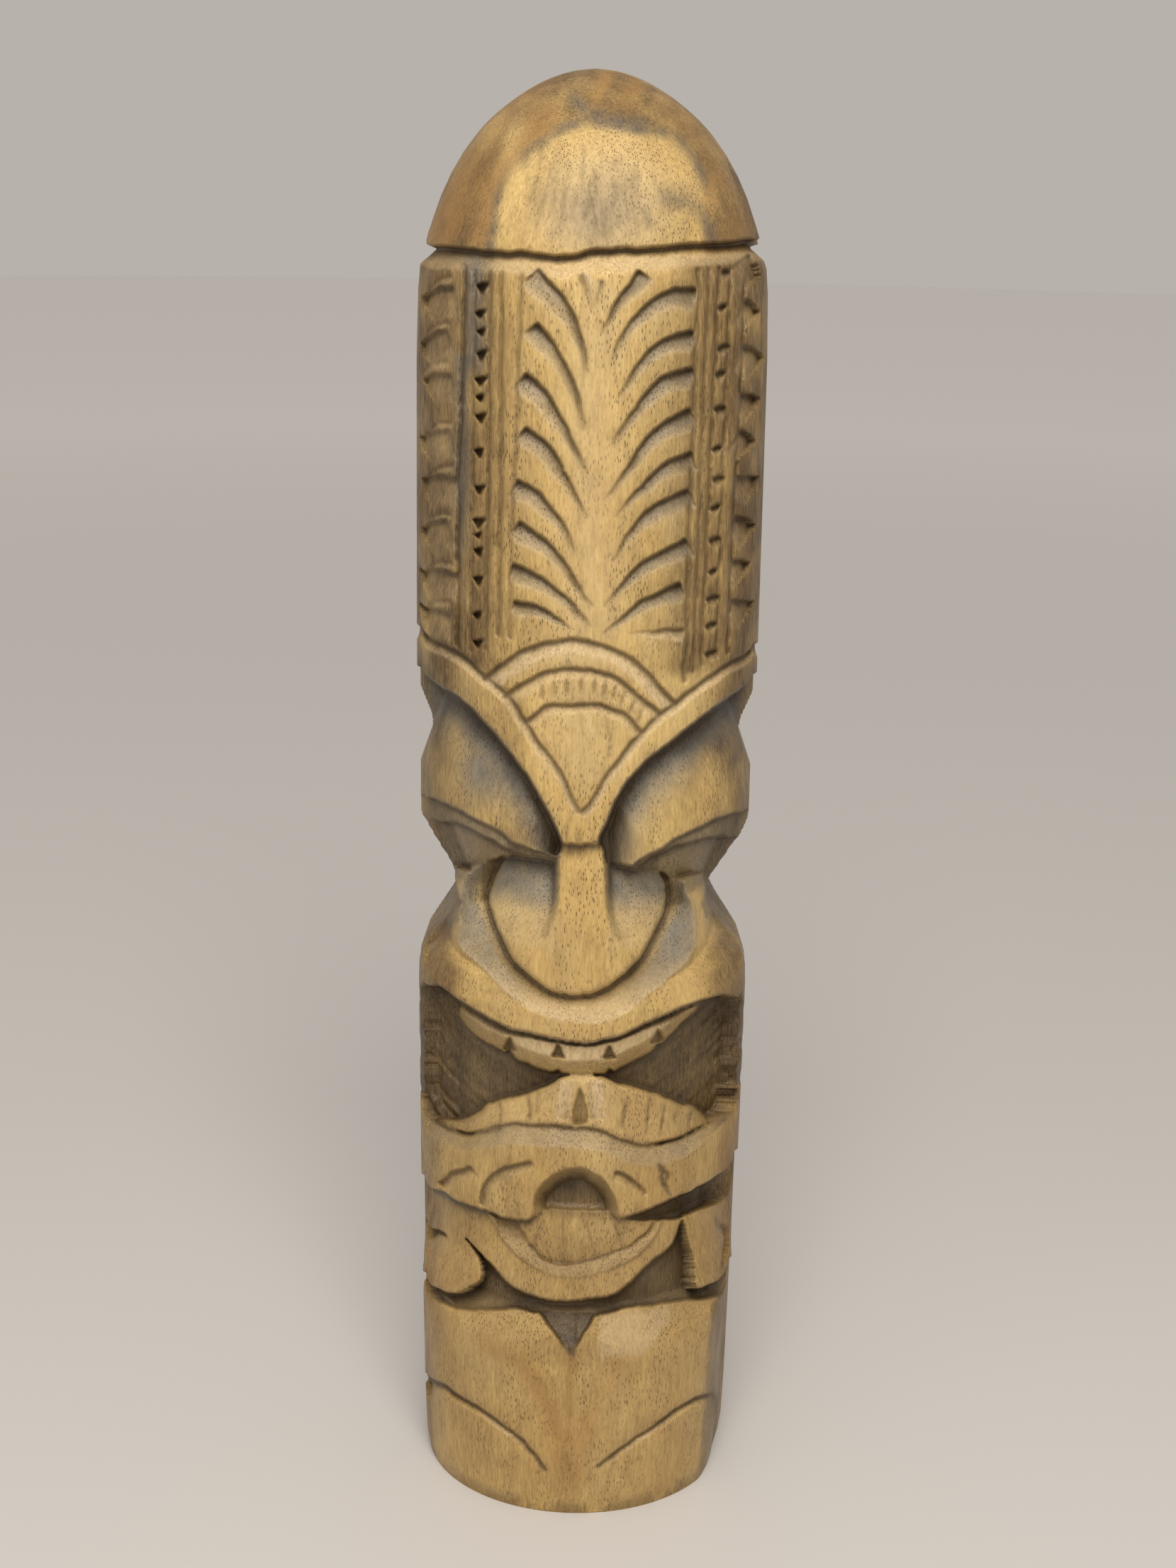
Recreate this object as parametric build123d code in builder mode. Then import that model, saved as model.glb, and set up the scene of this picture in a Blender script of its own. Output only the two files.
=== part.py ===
from build123d import *
import math
import os

os.makedirs("parts", exist_ok=True)

# A carved tiki figure, cut from one upright block of wood.
# Millimetres, +Z up, origin in the middle of the flat base, the face looks along -Y.

# ---- The block ----
body_width = 70.5  # widest place of the figure, across the cheeks and headdress
body_depth = 66.0  # front to back at the same height
base_inset = 1.8  # the foot of the block is this much smaller all round
saw_allowance = 3.0  # wood below the foot that the last saw cut takes off
crown_inset = 1.0  # and the top of the headdress this much
cap_inset = 2.2  # and the rim of the domed cap this much

# ---- Heights of the carved zones, stacked from the floor up ----
leg_height = 21.5
belly_height = 29.5
chin_height = 9.0
tongue_height = 12.5
lower_lip_height = 18.5
lower_teeth_height = 11.5
bite_gap = 0.8  # between the upper and the lower teeth
upper_teeth_height = 6.7
upper_lip_height = 10.5
nose_height = 31.5
headdress_height = 77.5
cap_height = 34.5

# ---- Groove under the cap ----
groove_depth = 2.6
groove_height = 2.2
shoulder_height = 3.4  # slope from the groove down to the headdress

# ---- Brow, eyelids and waist ----
brow_band = 6.0  # width of the V-shaped band
brow_cross = 2.75  # upper edge of each half of the V passes the middle line by this
brow_center_drop = 4.0  # middle of the brow arcs, below the bottom of the V
brow_margin = 2.0  # plain wood between the ends of the V and the headdress
brow_line_width = 2.4  # gouged line along the top of the band
brow_line_depth = 1.3
lid_depth = 5.0  # eyelids start this far behind the brow
brow_bevel = 8.0  # height of the sloping underside of the brow at its ends
lid_edge_rise = 2.5  # fullest place of the lid, above the bottom of the V
valley_width = 5.0  # groove between an eyelid and the bridge of the nose
valley_depth = 7.5
waist_depth = 10.5
waist_drop = 11.0  # waist below the bottom of the V
lid_underside_height = 5.5  # steep slope under the eyelids
lid_underside_depth = 9.0
cheek_drop = 32.0  # from the waist down to the fullest place of the cheeks

# ---- Nose ----
nose_width = 36.0
nose_top_width = 30.0
bridge_width = 9.5
wing_height = 18.0  # fullest place of the nostril wings, above the tip of the nose
wing_slope_height = 18.0
wing_slope_depth = 7.0
lip_slope_radius = 31.0  # rim of the funnel below the nose
lip_slope_depth = 9.0
lip_slope_rise = 4.0  # middle of the funnel above the waist

# ---- Mouth ----
cheek_edge = 3.8  # wood left beside the corners of the mouth
mouth_depth = 9.0
mouth_bulge = 1.5  # side walls curve out
upper_lip_sag = 5.5  # middle of the lip below its corners
upper_teeth_inset = 8.5  # ends of the row, inside the corners of the mouth
upper_teeth_step = 1.8  # teeth stand behind the lip
lower_teeth_inset = 3.5
lower_teeth_step = 1.2
lower_lip_sag = 5.5  # corners of the lip below its middle
tooth_gap_count = 4
tooth_gap_pitch = 10.0
tooth_gap_width = 3.2
tooth_gap_depth = 2.0
tooth_gap_angle = 68.0  # degrees, sides of the gap against its base
lower_lip_slope_height = 5.5
lower_lip_slope_depth = 2.8

# ---- Arch, tongue and chin ----
arch_width = 18.0
arch_rise = 9.5  # arch above the tongue
arch_depth = 6.5
tongue_width = 27.0
tongue_top_step = 3.6
tongue_bottom_step = 2.2
tongue_line_angles = (-24.0, -8.0, 8.0, 24.0)  # degrees from straight down
tongue_line_width = 1.1
tongue_line_depth = 1.2
chin_width = 43.0
chin_corner_rise = 9.5  # corners of the chin above its lowest place
chin_step = 2.6  # chin and tusks start behind the lower lip
lip_edge_drop = 2.5  # outer edge of the lower lip, below the top of the tongue
under_chin_depth = 8.5
under_chin_slope = 11.0  # height of the slope from the hollow out to the belly
tusk_lean = 1.0  # tusks come in under the corners of the chin
tusk_tip_edge = 5.2  # from the tip of a tusk to the side of the figure
tusk_tip_drop = 7.5  # tips below the chin

# ---- Belly and legs ----
belly_notch_width = 12.0
belly_notch_height = 12.0
belly_notch_depth = 8.5
belly_valley_width = 24.0
belly_valley_depth = 3.0
belly_valley_height = 27.0
leg_spacing = 46.0  # between the middles of the two leg arches
leg_radius = 18.0
leg_line_width = 1.4
leg_line_depth = 1.6
leg_line_height = 12.0  # part of the arch that is cut, from its top down

# ---- Headdress ----
frond_count = 8
frond_pitch = 8.3
frond_length = 21.0
frond_bulge = 3.4  # upper edge arches over the line from tip to tip
frond_sag = 0.8  # lower edge hangs under it
frond_rise = 50.0  # degrees
frond_slope = 24.0  # degrees, cut face against the surface
frond_swing = 15.0  # degrees round the front, from the middle line
frond_margin = 12.0  # middle of the top frond below the cap
arch_line_count = 3
arch_line_pitch = 6.2
arch_line_radius = 21.5
arch_line_shrink = 2.9
arch_line_width = 2.2
arch_line_depth = 1.3
arch_line_margin = 5.5  # top of the outer arch above the top of the brow
ridge_line_angles = (28.0, 34.0, 46.5, 51.0)  # degrees round the front
ridge_line_width = 1.6
ridge_line_depth = 1.4
small_notch_angle = 40.0
small_notch_width = 3.2
small_notch_height = 3.4
small_notch_pitch = 6.2
large_notch_angle = 64.0
large_notch_width = 9.0
large_notch_height = 5.6
large_notch_pitch = 8.4
notch_depth = 1.8
notch_margin = 5.0  # plain edge above and below the notches

# ---- Levels and radii that follow ----
leg_top = leg_height
chin_bottom = leg_top + belly_height
tongue_bottom = chin_bottom + chin_height
tongue_top = tongue_bottom + tongue_height
lower_lip_top = tongue_top + lower_lip_height
lower_teeth_top = lower_lip_top + lower_teeth_height
upper_teeth_top = lower_teeth_top + bite_gap + upper_teeth_height
nose_bottom = upper_teeth_top + upper_lip_height
brow_bottom = nose_bottom + nose_height

body_radius = body_width / 2
base_radius = body_radius - base_inset
crown_radius = body_radius - crown_inset
cap_radius = body_radius - cap_inset
waist_radius = body_radius - waist_depth
mouth_half = body_radius - cheek_edge
upper_teeth_half = mouth_half - upper_teeth_inset
lower_teeth_half = mouth_half - lower_teeth_inset
chin_half = chin_width / 2
tusk_inner = chin_half - tusk_lean
tusk_tip = body_radius - tusk_tip_edge

brow_radius = body_radius + brow_cross
brow_inner_radius = brow_radius - brow_band
brow_center_level = brow_bottom - brow_center_drop
brow_underside = brow_center_level + brow_inner_radius
brow_top = brow_center_level + brow_radius + brow_margin
cap_bottom = brow_top + headdress_height
figure_top = cap_bottom + cap_height
waist_level = brow_bottom - waist_drop
lid_level = brow_bottom + lid_edge_rise
cheek_level = waist_level - cheek_drop
wing_level = nose_bottom + wing_height
lip_edge_level = tongue_top - lip_edge_drop
crown_level = cap_bottom - groove_height / 2 - shoulder_height
reach = body_width + body_depth  # cutters run this far out of the block
overlap = 0.5  # cutters run this far past the surface they start from


# The cuts are laid out on a round block, and the finished figure is then pressed to
# its depth. A cut's depth is measured inward from the fullest turned surface.
def turned_cutter(*inner_wall):
    """Half a ring at the front, solid outside its inner wall.

    inner_wall lists (depth, level) from the lowest level up.
    """
    wall = [(body_radius - depth, level) for depth, level in inner_wall]
    with BuildPart() as ring:
        with BuildSketch(Plane.XZ):
            with BuildLine():
                Polyline((reach, wall[0][1]), *wall, (reach, wall[-1][1]), close=True)
            make_face()
        revolve(axis=Axis.Z, revolution_arc=-180)
    return ring.part


def radial_plane(angle):
    """Upright plane through the axis, angle degrees round from the front.

    Its local x runs outward and its local y runs up.
    """
    turn = math.radians(angle)
    outward = (math.sin(turn), -math.cos(turn), 0)
    sideways = (-math.cos(turn), -math.sin(turn), 0)
    return Plane(origin=(0, 0, 0), x_dir=outward, z_dir=sideways)


# ---- Block: turned body, groove and domed cap ----
with BuildPart() as block:
    with BuildSketch(Plane.XZ):
        with BuildLine():
            Polyline(
                (0, figure_top),
                (0, -saw_allowance),
                (base_radius, -saw_allowance),
                (base_radius, 0),
                (body_radius, cheek_level),
                (body_radius, brow_top),
                (crown_radius, crown_level),
                (cap_radius - groove_depth, cap_bottom - groove_height / 2),
                (cap_radius, cap_bottom),
            )
            Spline(
                (cap_radius, cap_bottom),
                (0.75 * cap_radius, cap_bottom + 0.55 * cap_height),
                (0.42 * cap_radius, cap_bottom + 0.86 * cap_height),
                (0, figure_top),
                tangents=[(-0.25, 1), (-1, 0)],
            )
        make_face()
    revolve(axis=Axis.Z)

# ---- Nose: the cuts round it stop at this outline ----
with BuildSketch(Plane.XZ) as nose_outline:
    with BuildLine():
        Polyline(
            (-nose_width / 2, wing_level),
            (-nose_top_width / 2, waist_level + lid_underside_height),
            (-bridge_width / 2, brow_bottom),
            (-bridge_width / 2, lid_level + overlap),
            (bridge_width / 2, lid_level + overlap),
            (bridge_width / 2, brow_bottom),
            (nose_top_width / 2, waist_level + lid_underside_height),
            (nose_width / 2, wing_level),
        )
        ThreePointArc(
            (nose_width / 2, wing_level),
            (0, nose_bottom),
            (-nose_width / 2, wing_level),
        )
    make_face()

with BuildPart() as nose:
    extrude(nose_outline.sketch, amount=reach)

# The wings lean back from the ridge of the nose towards the eyelids.
with BuildPart() as wing_slopes:
    add(
        turned_cutter(
            (-overlap, lid_level - wing_slope_height),
            (wing_slope_depth, lid_level + overlap),
        )
    )
    extrude(nose_outline.sketch, amount=reach, mode=Mode.INTERSECT)
    with BuildSketch(Plane.XZ):
        with Locations((0, waist_level)):
            Rectangle(bridge_width, 2 * nose_height)
    extrude(amount=reach, mode=Mode.SUBTRACT)

# ---- Waist: turned round the front, straight through behind ----
with BuildPart() as waist_cut:
    with BuildSketch(Plane.XZ) as waist_profile:
        with BuildLine():
            Polyline(
                (body_radius + overlap, cheek_level),
                (reach, cheek_level),
                (reach, lid_level),
                (body_radius + overlap, lid_level),
                (
                    waist_radius + lid_underside_depth,
                    waist_level + lid_underside_height,
                ),
                (waist_radius, waist_level),
            )
            ThreePointArc(
                (waist_radius, waist_level),
                (
                    waist_radius + 0.6 * (body_radius - waist_radius),
                    waist_level - 0.43 * cheek_drop,
                ),
                (body_radius + overlap, cheek_level),
            )
        make_face()
    revolve(axis=Axis.Z, revolution_arc=-180)
    add(nose.part, mode=Mode.SUBTRACT)
    extrude(waist_profile.sketch, amount=-reach)
    mirror(about=Plane.YZ)

# ---- Eye hollows under the two halves of the V, sawn straight through behind ----
with BuildPart() as eye_hollow:
    add(
        turned_cutter(
            (-overlap, lid_level),
            (lid_depth, brow_underside - brow_bevel),
            (-overlap, brow_underside),
        )
    )
    with BuildSketch(Plane.XZ):
        with Locations((body_radius, brow_center_level)):
            Circle(brow_inner_radius + overlap)
    extrude(amount=reach, mode=Mode.INTERSECT)
    with BuildSketch(Plane.XZ):
        with BuildLine():
            Polyline(
                (reach, lid_level),
                (body_radius + overlap, lid_level),
                (body_radius - lid_depth, brow_underside - brow_bevel),
                (body_radius + overlap, brow_underside),
                (reach, brow_underside),
                close=True,
            )
        make_face()
    extrude(amount=-reach)

# ---- Valleys between the eyelids and the bridge of the nose ----
with BuildPart() as valley:
    add(
        turned_cutter(
            (valley_depth, waist_level),
            (valley_depth, brow_bottom),
            (lid_depth, brow_underside - brow_bevel),
        )
    )
    with BuildSketch(Plane.XZ):
        with Locations((body_radius, brow_center_level)):
            Circle(brow_inner_radius)
        with Locations((body_radius + valley_width, brow_center_level)):
            Circle(brow_inner_radius, mode=Mode.SUBTRACT)
        with Locations((body_radius, brow_center_level)):
            Rectangle(
                body_width,
                body_width,
                align=(Align.CENTER, Align.MAX),
                mode=Mode.SUBTRACT,
            )
    extrude(amount=reach, mode=Mode.INTERSECT)
    add(nose.part, mode=Mode.SUBTRACT)

with BuildPart() as brow_line:
    add(turned_cutter((brow_line_depth, brow_bottom), (brow_line_depth, brow_top + brow_band)))
    with BuildSketch(Plane.XZ):
        with Locations((body_radius, brow_center_level)):
            Circle(brow_radius + brow_line_width)
            Circle(brow_radius, mode=Mode.SUBTRACT)
        with Locations((-body_radius, brow_center_level)):
            Circle(brow_radius, mode=Mode.SUBTRACT)
        with Locations((-reach / 2, brow_center_level)):
            Rectangle(reach, reach, mode=Mode.SUBTRACT)
    extrude(amount=reach, mode=Mode.INTERSECT)

# ---- Funnel between the nose and the upper lip ----
with BuildPart() as lip_slope:
    with Locations(
        Location((0, -body_radius + lip_slope_depth, waist_level + lip_slope_rise), (90, 0, 0))
    ):
        Cone(
            bottom_radius=lip_slope_radius - lip_slope_depth,
            top_radius=lip_slope_radius + lip_slope_depth,
            height=2 * lip_slope_depth,
            align=(Align.CENTER, Align.CENTER, Align.MIN),
        )
    with BuildSketch(Plane.XZ):
        with Locations((0, waist_level)):
            Rectangle(reach, reach, align=(Align.CENTER, Align.MAX))
    extrude(amount=reach, mode=Mode.INTERSECT)
    add(nose.part, mode=Mode.SUBTRACT)

# ---- Teeth and mouth ----
with BuildSketch(Plane.XZ) as upper_teeth_outline:
    with BuildLine():
        ThreePointArc(
            (-mouth_half, upper_teeth_top + upper_lip_sag),
            (0, upper_teeth_top),
            (mouth_half, upper_teeth_top + upper_lip_sag),
        )
        Line(
            (mouth_half, upper_teeth_top + upper_lip_sag),
            (upper_teeth_half, upper_teeth_top),
        )
        ThreePointArc(
            (upper_teeth_half, upper_teeth_top),
            (0, upper_teeth_top - upper_teeth_height),
            (-upper_teeth_half, upper_teeth_top),
        )
        Line(
            (-upper_teeth_half, upper_teeth_top),
            (-mouth_half, upper_teeth_top + upper_lip_sag),
        )
    make_face()

with BuildSketch(Plane.XZ) as lower_teeth_outline:
    with BuildLine():
        ThreePointArc(
            (-lower_teeth_half, lower_lip_top - lower_lip_sag),
            (0, lower_teeth_top),
            (lower_teeth_half, lower_lip_top - lower_lip_sag),
        )
        ThreePointArc(
            (lower_teeth_half, lower_lip_top - lower_lip_sag),
            (0, lower_lip_top),
            (-lower_teeth_half, lower_lip_top - lower_lip_sag),
        )
    make_face()

with BuildSketch(Plane.XZ) as mouth_outline:
    with BuildLine():
        ThreePointArc(
            (-mouth_half, upper_teeth_top + upper_lip_sag),
            (0, upper_teeth_top),
            (mouth_half, upper_teeth_top + upper_lip_sag),
        )
        ThreePointArc(
            (mouth_half, upper_teeth_top + upper_lip_sag),
            (mouth_half + mouth_bulge, lower_teeth_top),
            (mouth_half, lower_lip_top - lower_lip_sag),
        )
        ThreePointArc(
            (mouth_half, lower_lip_top - lower_lip_sag),
            (0, lower_lip_top),
            (-mouth_half, lower_lip_top - lower_lip_sag),
        )
        ThreePointArc(
            (-mouth_half, lower_lip_top - lower_lip_sag),
            (-mouth_half - mouth_bulge, lower_teeth_top),
            (-mouth_half, upper_teeth_top + upper_lip_sag),
        )
    make_face()

# The floor of the mouth is a wide upright curve that comes out at the corners.
corner_setback = math.sqrt(body_radius**2 - mouth_half**2)
floor_rise = body_radius - mouth_depth - corner_setback
floor_radius = (mouth_half**2 + floor_rise**2) / (2 * floor_rise)

with BuildPart() as mouth:
    extrude(mouth_outline.sketch, amount=reach)
    with Locations((0, floor_radius - (body_radius - mouth_depth), lower_lip_top)):
        Cylinder(radius=floor_radius, height=reach, mode=Mode.SUBTRACT)
    extrude(upper_teeth_outline.sketch, amount=reach, mode=Mode.SUBTRACT)
    extrude(lower_teeth_outline.sketch, amount=reach, mode=Mode.SUBTRACT)

with BuildPart() as upper_teeth_face:
    add(turned_cutter((upper_teeth_step, lower_teeth_top), (upper_teeth_step, nose_bottom)))
    extrude(upper_teeth_outline.sketch, amount=reach, mode=Mode.INTERSECT)

with BuildPart() as lower_teeth_face:
    add(turned_cutter((lower_teeth_step, tongue_top), (lower_teeth_step, upper_teeth_top)))
    extrude(lower_teeth_outline.sketch, amount=reach, mode=Mode.INTERSECT)

with BuildPart() as tooth_gaps:
    gap_depth = upper_teeth_step + tooth_gap_depth
    add(turned_cutter((gap_depth, lower_teeth_top - lip_edge_drop), (gap_depth, nose_bottom)))
    with BuildSketch(Plane.XZ):
        with Locations((0, upper_teeth_top - upper_teeth_height)):
            with GridLocations(tooth_gap_pitch, 1, tooth_gap_count, 1):
                Triangle(
                    a=tooth_gap_width,
                    B=tooth_gap_angle,
                    C=tooth_gap_angle,
                    align=(Align.CENTER, Align.MIN),
                )
    extrude(amount=reach, mode=Mode.INTERSECT)

with BuildPart() as lower_lip_slope:
    add(
        turned_cutter(
            (-overlap, lower_lip_top - lower_lip_slope_height),
            (lower_lip_slope_depth, lower_lip_top),
        )
    )
    with BuildSketch(Plane.XZ):
        with BuildLine():
            ThreePointArc(
                (-mouth_half, lower_lip_top - lower_lip_sag),
                (0, lower_lip_top),
                (mouth_half, lower_lip_top - lower_lip_sag),
            )
            Line(
                (mouth_half, lower_lip_top - lower_lip_sag),
                (-mouth_half, lower_lip_top - lower_lip_sag),
            )
        make_face()
    extrude(amount=reach, mode=Mode.INTERSECT)

# ---- Arch in the lower lip, with the tongue ----
with BuildPart() as arch_hollow:
    add(turned_cutter((arch_depth, tongue_top), (arch_depth, lower_lip_top)))
    with BuildSketch(Plane.XZ):
        with Locations((0, tongue_top + arch_rise - arch_width / 2)):
            Circle(arch_width / 2)
            Rectangle(arch_width, arch_width, align=(Align.CENTER, Align.MAX))
    extrude(amount=reach, mode=Mode.INTERSECT)

with BuildPart() as tongue_face:
    add(
        turned_cutter(
            (tongue_bottom_step, tongue_bottom - overlap),
            (tongue_top_step, tongue_top + overlap),
        )
    )
    with BuildSketch(Plane.XZ):
        with BuildLine():
            Polyline(
                (tongue_width / 2, lip_edge_level),
                (arch_width / 2, lip_edge_level),
                (arch_width / 2, tongue_top + overlap),
                (-arch_width / 2, tongue_top + overlap),
                (-arch_width / 2, lip_edge_level),
                (-tongue_width / 2, lip_edge_level),
            )
            ThreePointArc(
                (-tongue_width / 2, lip_edge_level),
                (0, tongue_bottom),
                (tongue_width / 2, lip_edge_level),
            )
        make_face()
    extrude(amount=reach, mode=Mode.INTERSECT)

with BuildPart() as tongue_lines:
    add(
        turned_cutter(
            (tongue_bottom_step + tongue_line_depth, tongue_bottom),
            (tongue_top_step + tongue_line_depth, tongue_top + overlap),
        )
    )
    with BuildSketch(Plane.XZ):
        for angle in tongue_line_angles:
            with Locations(Location((0, tongue_top + tongue_height), (0, 0, angle))):
                with Locations((0, -1.55 * tongue_height)):
                    Rectangle(tongue_line_width, 0.75 * tongue_height)
    extrude(amount=reach, mode=Mode.INTERSECT)

# ---- Chin and tusks, set back under the lower lip, with the hollow below them ----
with BuildPart() as chin_face:
    add(
        turned_cutter(
            (-overlap, chin_bottom - tusk_tip_drop),
            (chin_step, lip_edge_level),
        )
    )
    with BuildSketch(Plane.XZ):
        with Locations((0, chin_bottom)):
            Rectangle(2 * (body_radius - chin_step), reach)
    extrude(amount=reach, mode=Mode.INTERSECT)

with BuildPart() as under_chin:
    add(
        turned_cutter(
            (-overlap, chin_bottom - under_chin_slope),
            (under_chin_depth, chin_bottom),
            (under_chin_depth, lip_edge_level),
        )
    )
    with BuildSketch(Plane.XZ):
        with BuildLine():
            Polyline(
                (-chin_half, chin_bottom + chin_corner_rise),
                (-tusk_inner, chin_bottom),
                (-tusk_tip, chin_bottom - tusk_tip_drop),
                (-reach, chin_bottom - under_chin_slope),
                (reach, chin_bottom - under_chin_slope),
                (tusk_tip, chin_bottom - tusk_tip_drop),
                (tusk_inner, chin_bottom),
                (chin_half, chin_bottom + chin_corner_rise),
            )
            ThreePointArc(
                (chin_half, chin_bottom + chin_corner_rise),
                (0, chin_bottom),
                (-chin_half, chin_bottom + chin_corner_rise),
            )
        make_face()
    extrude(amount=reach, mode=Mode.INTERSECT)

# ---- Belly: a notch under the chin that runs out into a shallow valley ----
with BuildPart() as belly_notch:
    add(
        turned_cutter(
            (-overlap, chin_bottom - overlap - belly_notch_height),
            (belly_notch_depth, chin_bottom - overlap),
        )
    )
    with BuildSketch(Plane.XZ):
        with BuildLine():
            Polyline(
                (-belly_notch_width / 2, chin_bottom),
                (0, chin_bottom - belly_notch_height),
                (belly_notch_width / 2, chin_bottom),
                close=True,
            )
        make_face()
    extrude(amount=reach, mode=Mode.INTERSECT)

with BuildPart() as belly_valley:
    valley_top = chin_bottom - belly_notch_height - lip_edge_drop
    for level, share in ((valley_top, 1.0), (valley_top - belly_valley_height, 0.1)):
        with BuildSketch(Plane.XY.offset(level)):
            with BuildLine():
                Polyline(
                    (0, -body_radius + share * belly_valley_depth),
                    (share * belly_valley_width / 2, -body_radius - overlap),
                    (-share * belly_valley_width / 2, -body_radius - overlap),
                    close=True,
                )
            make_face()
    loft(ruled=True)

# ---- Legs: one arched line each ----
with BuildPart() as leg_line:
    add(
        turned_cutter(
            (leg_line_depth + base_inset, leg_top - leg_line_height),
            (leg_line_depth + 0.8 * base_inset, leg_top + overlap),
        )
    )
    with BuildSketch(Plane.XZ):
        with Locations((leg_spacing / 2, leg_top - leg_radius)):
            Circle(leg_radius)
            Circle(leg_radius - leg_line_width, mode=Mode.SUBTRACT)
    extrude(amount=reach, mode=Mode.INTERSECT)

# ---- Headdress front: a fern, with arched lines between it and the V ----
swing = math.radians(frond_swing)
rise = math.radians(frond_rise)
slope = math.radians(frond_slope)
outward = Vector(math.sin(swing), -math.cos(swing), 0)
across = Vector(math.cos(swing), math.sin(swing), 0)
along_leaf = across * math.cos(rise) + Vector(0, 0, math.sin(rise))
up_leaf = outward.cross(along_leaf)
slope_normal = outward * math.cos(slope) + up_leaf * math.sin(slope)
leaf_middle = outward * body_radius
leaf_plane = Plane(origin=leaf_middle, x_dir=along_leaf, z_dir=outward)
slope_plane = Plane(
    origin=leaf_middle - up_leaf * frond_sag, x_dir=along_leaf, z_dir=slope_normal
)

with BuildPart() as leaf_cut:
    with BuildSketch(leaf_plane):
        with BuildLine():
            ThreePointArc((-frond_length / 2, 0), (0, frond_bulge), (frond_length / 2, 0))
            ThreePointArc((frond_length / 2, 0), (0, -frond_sag), (-frond_length / 2, 0))
        make_face()
    extrude(amount=body_radius / 2, both=True)
    with BuildSketch(slope_plane):
        Rectangle(2 * frond_length, 2 * frond_length)
    extrude(amount=body_radius, mode=Mode.INTERSECT)

with BuildPart() as arch_lines:
    add(
        turned_cutter(
            (arch_line_depth, brow_bottom),
            (arch_line_depth, brow_top + arch_line_margin + overlap),
        )
    )
    with BuildSketch(Plane.XZ):
        for line in range(arch_line_count):
            radius = arch_line_radius - line * arch_line_shrink
            top = brow_top + arch_line_margin - line * arch_line_pitch
            with Locations((0, top - radius)):
                Circle(radius)
                Circle(radius - arch_line_width, mode=Mode.SUBTRACT)
        for side in (-1, 1):
            with Locations((side * body_radius, brow_center_level)):
                Circle(brow_radius + brow_line_width, mode=Mode.SUBTRACT)
        with Locations((0, brow_bottom)):
            Rectangle(reach, 2 * brow_band, mode=Mode.SUBTRACT)
    extrude(amount=reach, mode=Mode.INTERSECT)

# ---- Headdress sides: upright lines and columns of notches ----
ridge_bottom = brow_top + notch_margin
ridge_height = crown_level - ridge_bottom
with BuildPart() as ridge_lines:
    for angle in ridge_line_angles:
        turn = math.radians(angle)
        surface = (body_radius * math.sin(turn), -body_radius * math.cos(turn))
        with BuildSketch(Plane.XY.offset(ridge_bottom)):
            with Locations(Location(surface, angle)):
                Rectangle(ridge_line_width, 2 * ridge_line_depth)
        extrude(amount=ridge_height)

with BuildPart() as notches:
    for angle, width, height, pitch in (
        (small_notch_angle, small_notch_width, small_notch_height, small_notch_pitch),
        (large_notch_angle, large_notch_width, large_notch_height, large_notch_pitch),
    ):
        count = int(ridge_height // pitch)
        for index in range(count):
            level = ridge_bottom + (index + 1) * pitch
            with BuildSketch(radial_plane(angle)):
                with BuildLine():
                    Polyline(
                        (body_radius - notch_depth, level),
                        (body_radius + overlap, level),
                        (body_radius + overlap, level - height),
                        close=True,
                    )
                make_face()
            extrude(amount=width / 2, both=True)

# ---- The figure: everything cut from the one block ----
with BuildPart() as carved_figure:
    add(block.part)
    for cut in (
        waist_cut,
        lip_slope,
        wing_slopes,
        mouth,
        upper_teeth_face,
        lower_teeth_face,
        tooth_gaps,
        lower_lip_slope,
        chin_face,
        under_chin,
        arch_hollow,
        tongue_face,
        tongue_lines,
        belly_notch,
        belly_valley,
        arch_lines,
    ):
        add(cut.part, mode=Mode.SUBTRACT)
    for cut in (eye_hollow, valley, brow_line, leg_line, ridge_lines, notches):
        add(cut.part, mode=Mode.SUBTRACT)
        add(cut.part.mirror(Plane.YZ), mode=Mode.SUBTRACT)
    for index in range(frond_count):
        level = cap_bottom - frond_margin - index * frond_pitch
        leaf = leaf_cut.part.moved(Location((0, 0, level)))
        add(leaf, mode=Mode.SUBTRACT)
        add(leaf.mirror(Plane.YZ), mode=Mode.SUBTRACT)
    scale(by=(1, body_depth / body_width, 1))
    split(bisect_by=Plane.XY, keep=Keep.TOP)  # the flat foot is sawn last

carved_figure.part.label = "carved_figure"
export_step(carved_figure.part, "parts/carved_figure.step")
print("volume, mm3:", round(carved_figure.part.volume))
print("size, mm:", carved_figure.part.bounding_box().size)
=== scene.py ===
# %% [markdown]
# # A carved wooden tiki figure
# The real figure is one upright block of pale hardwood, rounded on its sides, with every
# feature cut into it by gouge and knife. Nothing is glued on. So this scene makes it the
# carver's way: a plain rounded block first, then a drawing of cuts laid on its front, each
# with its own depth, and at last the skin of the block pushed in wherever a cut reaches.
# A sculpted mesh could give the same look, but a drawing of cuts can be measured and changed.

import math

import bmesh
import bpy
import numpy as np
from mathutils import Matrix, Vector


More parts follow.
